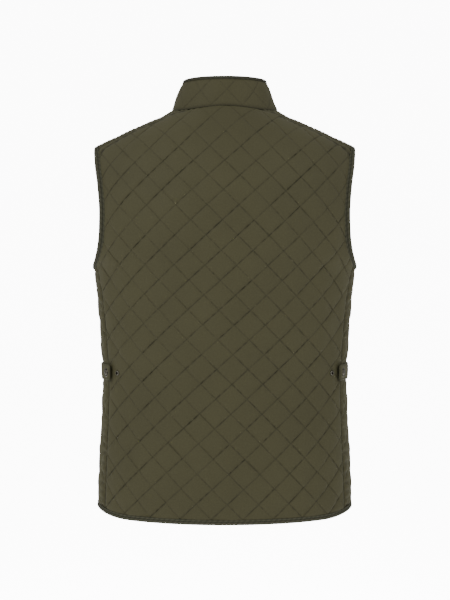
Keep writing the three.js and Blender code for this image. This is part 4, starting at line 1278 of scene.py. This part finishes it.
def makeTab(side):
    outline, middle = tabForm(), (tabEnd + tabRoot) / 2
    columns = np.arange(math.floor(tabEnd[0]), math.ceil(tabRoot[0]), 1.5)
    rows = np.arange(tabEnd[1] - tab["width"] / 2, tabEnd[1] + tab["width"] / 2, 1.4)
    grid = np.stack(np.meshgrid(columns, rows), -1).reshape(-1, 2)
    edgeDistance = distanceFromRim(outline)
    grid = grid[insideOf(outline, grid)]
    flat, faces = trianglesOver(outline, grid[edgeDistance(grid) > 0.7])
    edge = edgeDistance(flat)
    seam, rounded = bell(edge - tab["stitchIn"], 0.6), np.exp(-edge / 0.7)
    puff = 0.35 * smooth(2.6, 8, edge) + 0.25 * np.sin(flat[:, 0] / 6 + side) * smooth(2, 8, edge)
    top = tab["top"] - 0.8 * rounded - 0.35 * seam + puff + standOff(flat)
    under = tab["under"] + 0.5 * rounded + standOff(flat)
    points = np.vstack([placeOn(backCloth, *flat.T, top), placeOn(backCloth, *flat.T, under)])
    shell = shellFaces(faces, faces, len(flat), len(outline))
    label = "Left" if side > 0 else "Right"
    if side < 0:
        points = points * [-1, 1, 1]
    # painted shade along the stitched line and rounded edges, and over the whole underside so the raised end's
    # edge reads as shadowed
    obj = makeObject("tab" + label, points, facingOut(points, shell), clothLook, np.vstack([flat, flat]),
                     {"ditch": np.concatenate([np.maximum(seam * 0.8, rounded), 0 * seam + 1.3])})
    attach(obj, "root")
    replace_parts(obj, "tab_" + label.lower())
    inward = unit(np.stack([-np.gradient(outline[:, 1]), np.gradient(outline[:, 0])], 1))
    inset = outline + tab["stitchIn"] * inward * np.sign(flatArea(outline))
    inset = inset[inset[:, 0] < tabRoot[0] - 3]
    inset = inset[np.argsort(np.arctan2(*(inset - middle).T[::-1]))]
    split = np.argmax(np.linalg.norm(np.diff(inset, axis=0), axis=1))
    if np.linalg.norm(inset[split + 1] - inset[split]) > 8:
        inset = np.roll(inset, -(split + 1), 0)
    lift = tab["stitchOut"] + standOff(inset)
    surface = placeOn(backCloth, *inset.T, lift)
    normals = unit(placeOn(backCloth, *inset.T, lift + 1) - surface)
    sew("tab" + label + "Stitching", [(surface, normals)], thick=0.45, mirror=side < 0)


for side in (1, -1):
    makeTab(side)
print("tabs made")


# Press studs

studs = {
    # profiles from the middle out: radius and height, mm
    "cap": [(0, 3.15), (1.2, 3.08), (2.4, 2.86), (3.5, 2.48), (4.4, 1.98), (5.0, 1.5), (5.3, 1.15),
            (5.7, 1.1), (6.0, 1.35), (6.4, 1.5), (6.85, 1.35), (7.1, 1.0), (7.15, 0.5), (6.9, 0.12),
            (6.4, 0.0), (0, 0.0)],
    # the groove and hollow pieces are dark pieces of painted shade, set in the cap's groove and the socket's
    # hollow
    "capGrooveShade": [(4.8, 1.75), (5.1, 1.52), (5.5, 1.36), (6.0, 1.47), (5.8, 1.0), (5.2, 1.0)],
    "socketRing": [(2.2, 0.3), (2.25, 1.5), (2.5, 1.85), (2.9, 1.85), (3.3, 1.5), (3.7, 1.05), (4.0, 0.6),
                   (3.95, 0.05), (2.2, 0.05)],
    "socketHollowShade": [(0, 0.5), (2.3, 0.5), (2.3, 0.1), (0, 0.1)],
    "sides": 40,
    "seat": 0.6,  # how far out of the cloth a front cap stands
}


def latheOn(name, profile, centre, normal, material):
    profile, sides = np.array(profile, float), studs["sides"]
    axis = unit(np.array(normal, float))
    first = unit(np.cross(axis, [0.0, 0.0, 1.0]))
    second = np.cross(axis, first)
    turn = np.linspace(0, 2 * math.pi, sides, endpoint=False)
    spokes = np.cos(turn)[:, None] * first + np.sin(turn)[:, None] * second
    solid = profile[0, 0] == 0
    rings = profile[1:-1] if solid else profile
    points = (centre + axis * rings[:, None, 1:2] + spokes[None] * rings[:, None, 0:1]).reshape(-1, 3)
    faces = []
    for i in range(len(rings) - (1 if solid else 0)):
        n = (i + 1) % len(rings)
        faces += [(i * sides + k, i * sides + (k + 1) % sides, n * sides + (k + 1) % sides, n * sides + k)
                  for k in range(sides)]
    if solid:
        points = np.vstack([points, centre + axis * profile[0, 1], centre + axis * profile[-1, 1]])
        last = (len(rings) - 1) * sides
        faces += [(len(points) - 2, (k + 1) % sides, k) for k in range(sides)]
        faces += [(len(points) - 1, last + k, last + (k + 1) % sides) for k in range(sides)]
    obj = makeObject(name, points, facingOut(points, faces), material)
    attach(obj, "root")
    return obj


def seatOn(placing, flat, out):
    u, v = np.array([flat[0]]), np.array([flat[1]])
    seat = placing(u, v, np.array([out]))[0]
    return seat, placing(u, v, np.array([out + 1.0]))[0] - seat


def pairOf(name, node, profile, seat, normal, material):
    for side, label in ((1, "Left"), (-1, "Right")):
        obj = latheOn(name + label, profile, seat * [side, 1, 1], normal * [side, 1, 1], material)
        if node:
            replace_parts(obj, node.format(label.lower()))


onBackCloth, onLap = partial(placeOn, backCloth), partial(placeOn, lappedCloth)
capSeat, capNormal = seatOn(onBackCloth, tabEnd + [tab["capIn"], 0], tab["capOut"])
pairOf("tabStud", "tab_{}_stud", studs["cap"], capSeat, capNormal, capLook)
# a dark ring of painted shade in each cap's groove
pairOf("tabStudGrooveShade", None, studs["capGrooveShade"], capSeat, capNormal, shadeLook)
spareSeat, spareNormal = seatOn(onBackCloth, spareAt, tab["spareOut"])
pairOf("spareStud", "spare_{}_stud", studs["socketRing"], spareSeat, spareNormal, socketLook)
# a dark disc of painted shade in each socket's hollow
pairOf("spareStudHollowShade", None, studs["socketHollowShade"], spareSeat, spareNormal, shadeLook)
for i, v in enumerate(frontStudHeights):
    seat, normal = seatOn(onLap, (0.0, float(v)), studs["seat"])
    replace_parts(latheOn(f"frontStud{i + 1}", studs["cap"], seat, normal, capLook), f"front_stud_{i + 1}")
    # a dark ring of painted shade in the cap's groove
    latheOn(f"frontStudGrooveShade{i + 1}", studs["capGrooveShade"], seat, normal, shadeLook)
seat, normal = seatOn(placeOnCollar, (neckHalf, collar["height"] / 2), studs["seat"])
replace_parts(latheOn("collarStud", studs["cap"], seat, normal, capLook), "collar_stud")
# a dark ring of painted shade in the cap's groove
latheOn("collarStudGrooveShade", studs["capGrooveShade"], seat, normal, shadeLook)
print("studs made")


# Floor, light and camera

studio = {
    "floorBelow": 1.35, "floorWide": 11.0, "floorGlow": 0.3,
    "wallBehind": 4.0, "wall": (2.5, 3.4), "wallMiddle": -0.38, "wallGlow": 10.5,
    "lightSize": (1.2, 1.6), "lightAim": (0, 0, -0.25), "powerLeft": 33, "powerRight": 24, "world": 0.5,
    "cameraAway": 2.0, "cameraHeight": -0.238, "cameraAcross": -0.0005, "lens": 72.72, "shift": -0.04,
}


def stagePiece(name, points, glow):
    # one flat sheet of pale paper, lit from behind where it glows
    mesh = bpy.data.meshes.new(name)
    mesh.from_pydata(points, [], [(0, 1, 2, 3)])
    material, _, _, shader = startMaterial(name + "Paper", 0.9)
    shader.inputs["Base Color"].default_value = (0.9, 0.9, 0.9, 1)
    shader.inputs["Emission Color"].default_value = (1, 1, 1, 1)
    shader.inputs["Emission Strength"].default_value = glow
    mesh.materials.append(material)
    obj = bpy.data.objects.new(name, mesh)
    bpy.context.collection.objects.link(obj)


def softLight(name, place, power):
    light = bpy.data.lights.new(name, "AREA")
    light.shape, light.size, light.size_y, light.energy = "RECTANGLE", *studio["lightSize"], power
    obj = bpy.data.objects.new(name, light)
    obj.location = place
    direction = np.array(studio["lightAim"]) - np.array(place)
    obj.rotation_euler = (math.acos(-direction[2] / np.linalg.norm(direction)), 0,
                          math.atan2(direction[1], direction[0]) - math.pi / 2)
    bpy.context.collection.objects.link(obj)


floor = float(cadBox[0][2]) - studio["floorBelow"]
half = studio["floorWide"] / 2
stagePiece("studioFloor", [(-half, -half, floor), (half, -half, floor), (half, half, floor),
                           (-half, half, floor)], studio["floorGlow"])
wide, high = studio["wall"]
wallY, low = -studio["wallBehind"], studio["wallMiddle"] - high / 2
stagePiece("studioWall", [(wide / 2, wallY, low), (-wide / 2, wallY, low),
                          (-wide / 2, wallY, low + high), (wide / 2, wallY, low + high)], studio["wallGlow"])
softLight("lightLeft", (2.0, 1.9, 1.2), studio["powerLeft"])
softLight("lightRight", (-2.0, 1.9, 1.2), studio["powerRight"])
world = bpy.data.worlds.new("studioWorld")
world.use_nodes = True
world.node_tree.nodes["Background"].inputs["Color"].default_value = (1, 1, 1, 1)
world.node_tree.nodes["Background"].inputs["Strength"].default_value = studio["world"]
bpy.context.scene.world = world

lens = bpy.data.cameras.new("camera")
lens.lens, lens.sensor_width, lens.shift_y = studio["lens"], 36, studio["shift"]
camera = bpy.data.objects.new("camera", lens)
camera.location = (studio["cameraAcross"], studio["cameraAway"], studio["cameraHeight"])
camera.rotation_euler = (math.pi / 2, 0, math.pi)
bpy.context.collection.objects.link(camera)
bpy.context.scene.camera = camera
print("studio made")
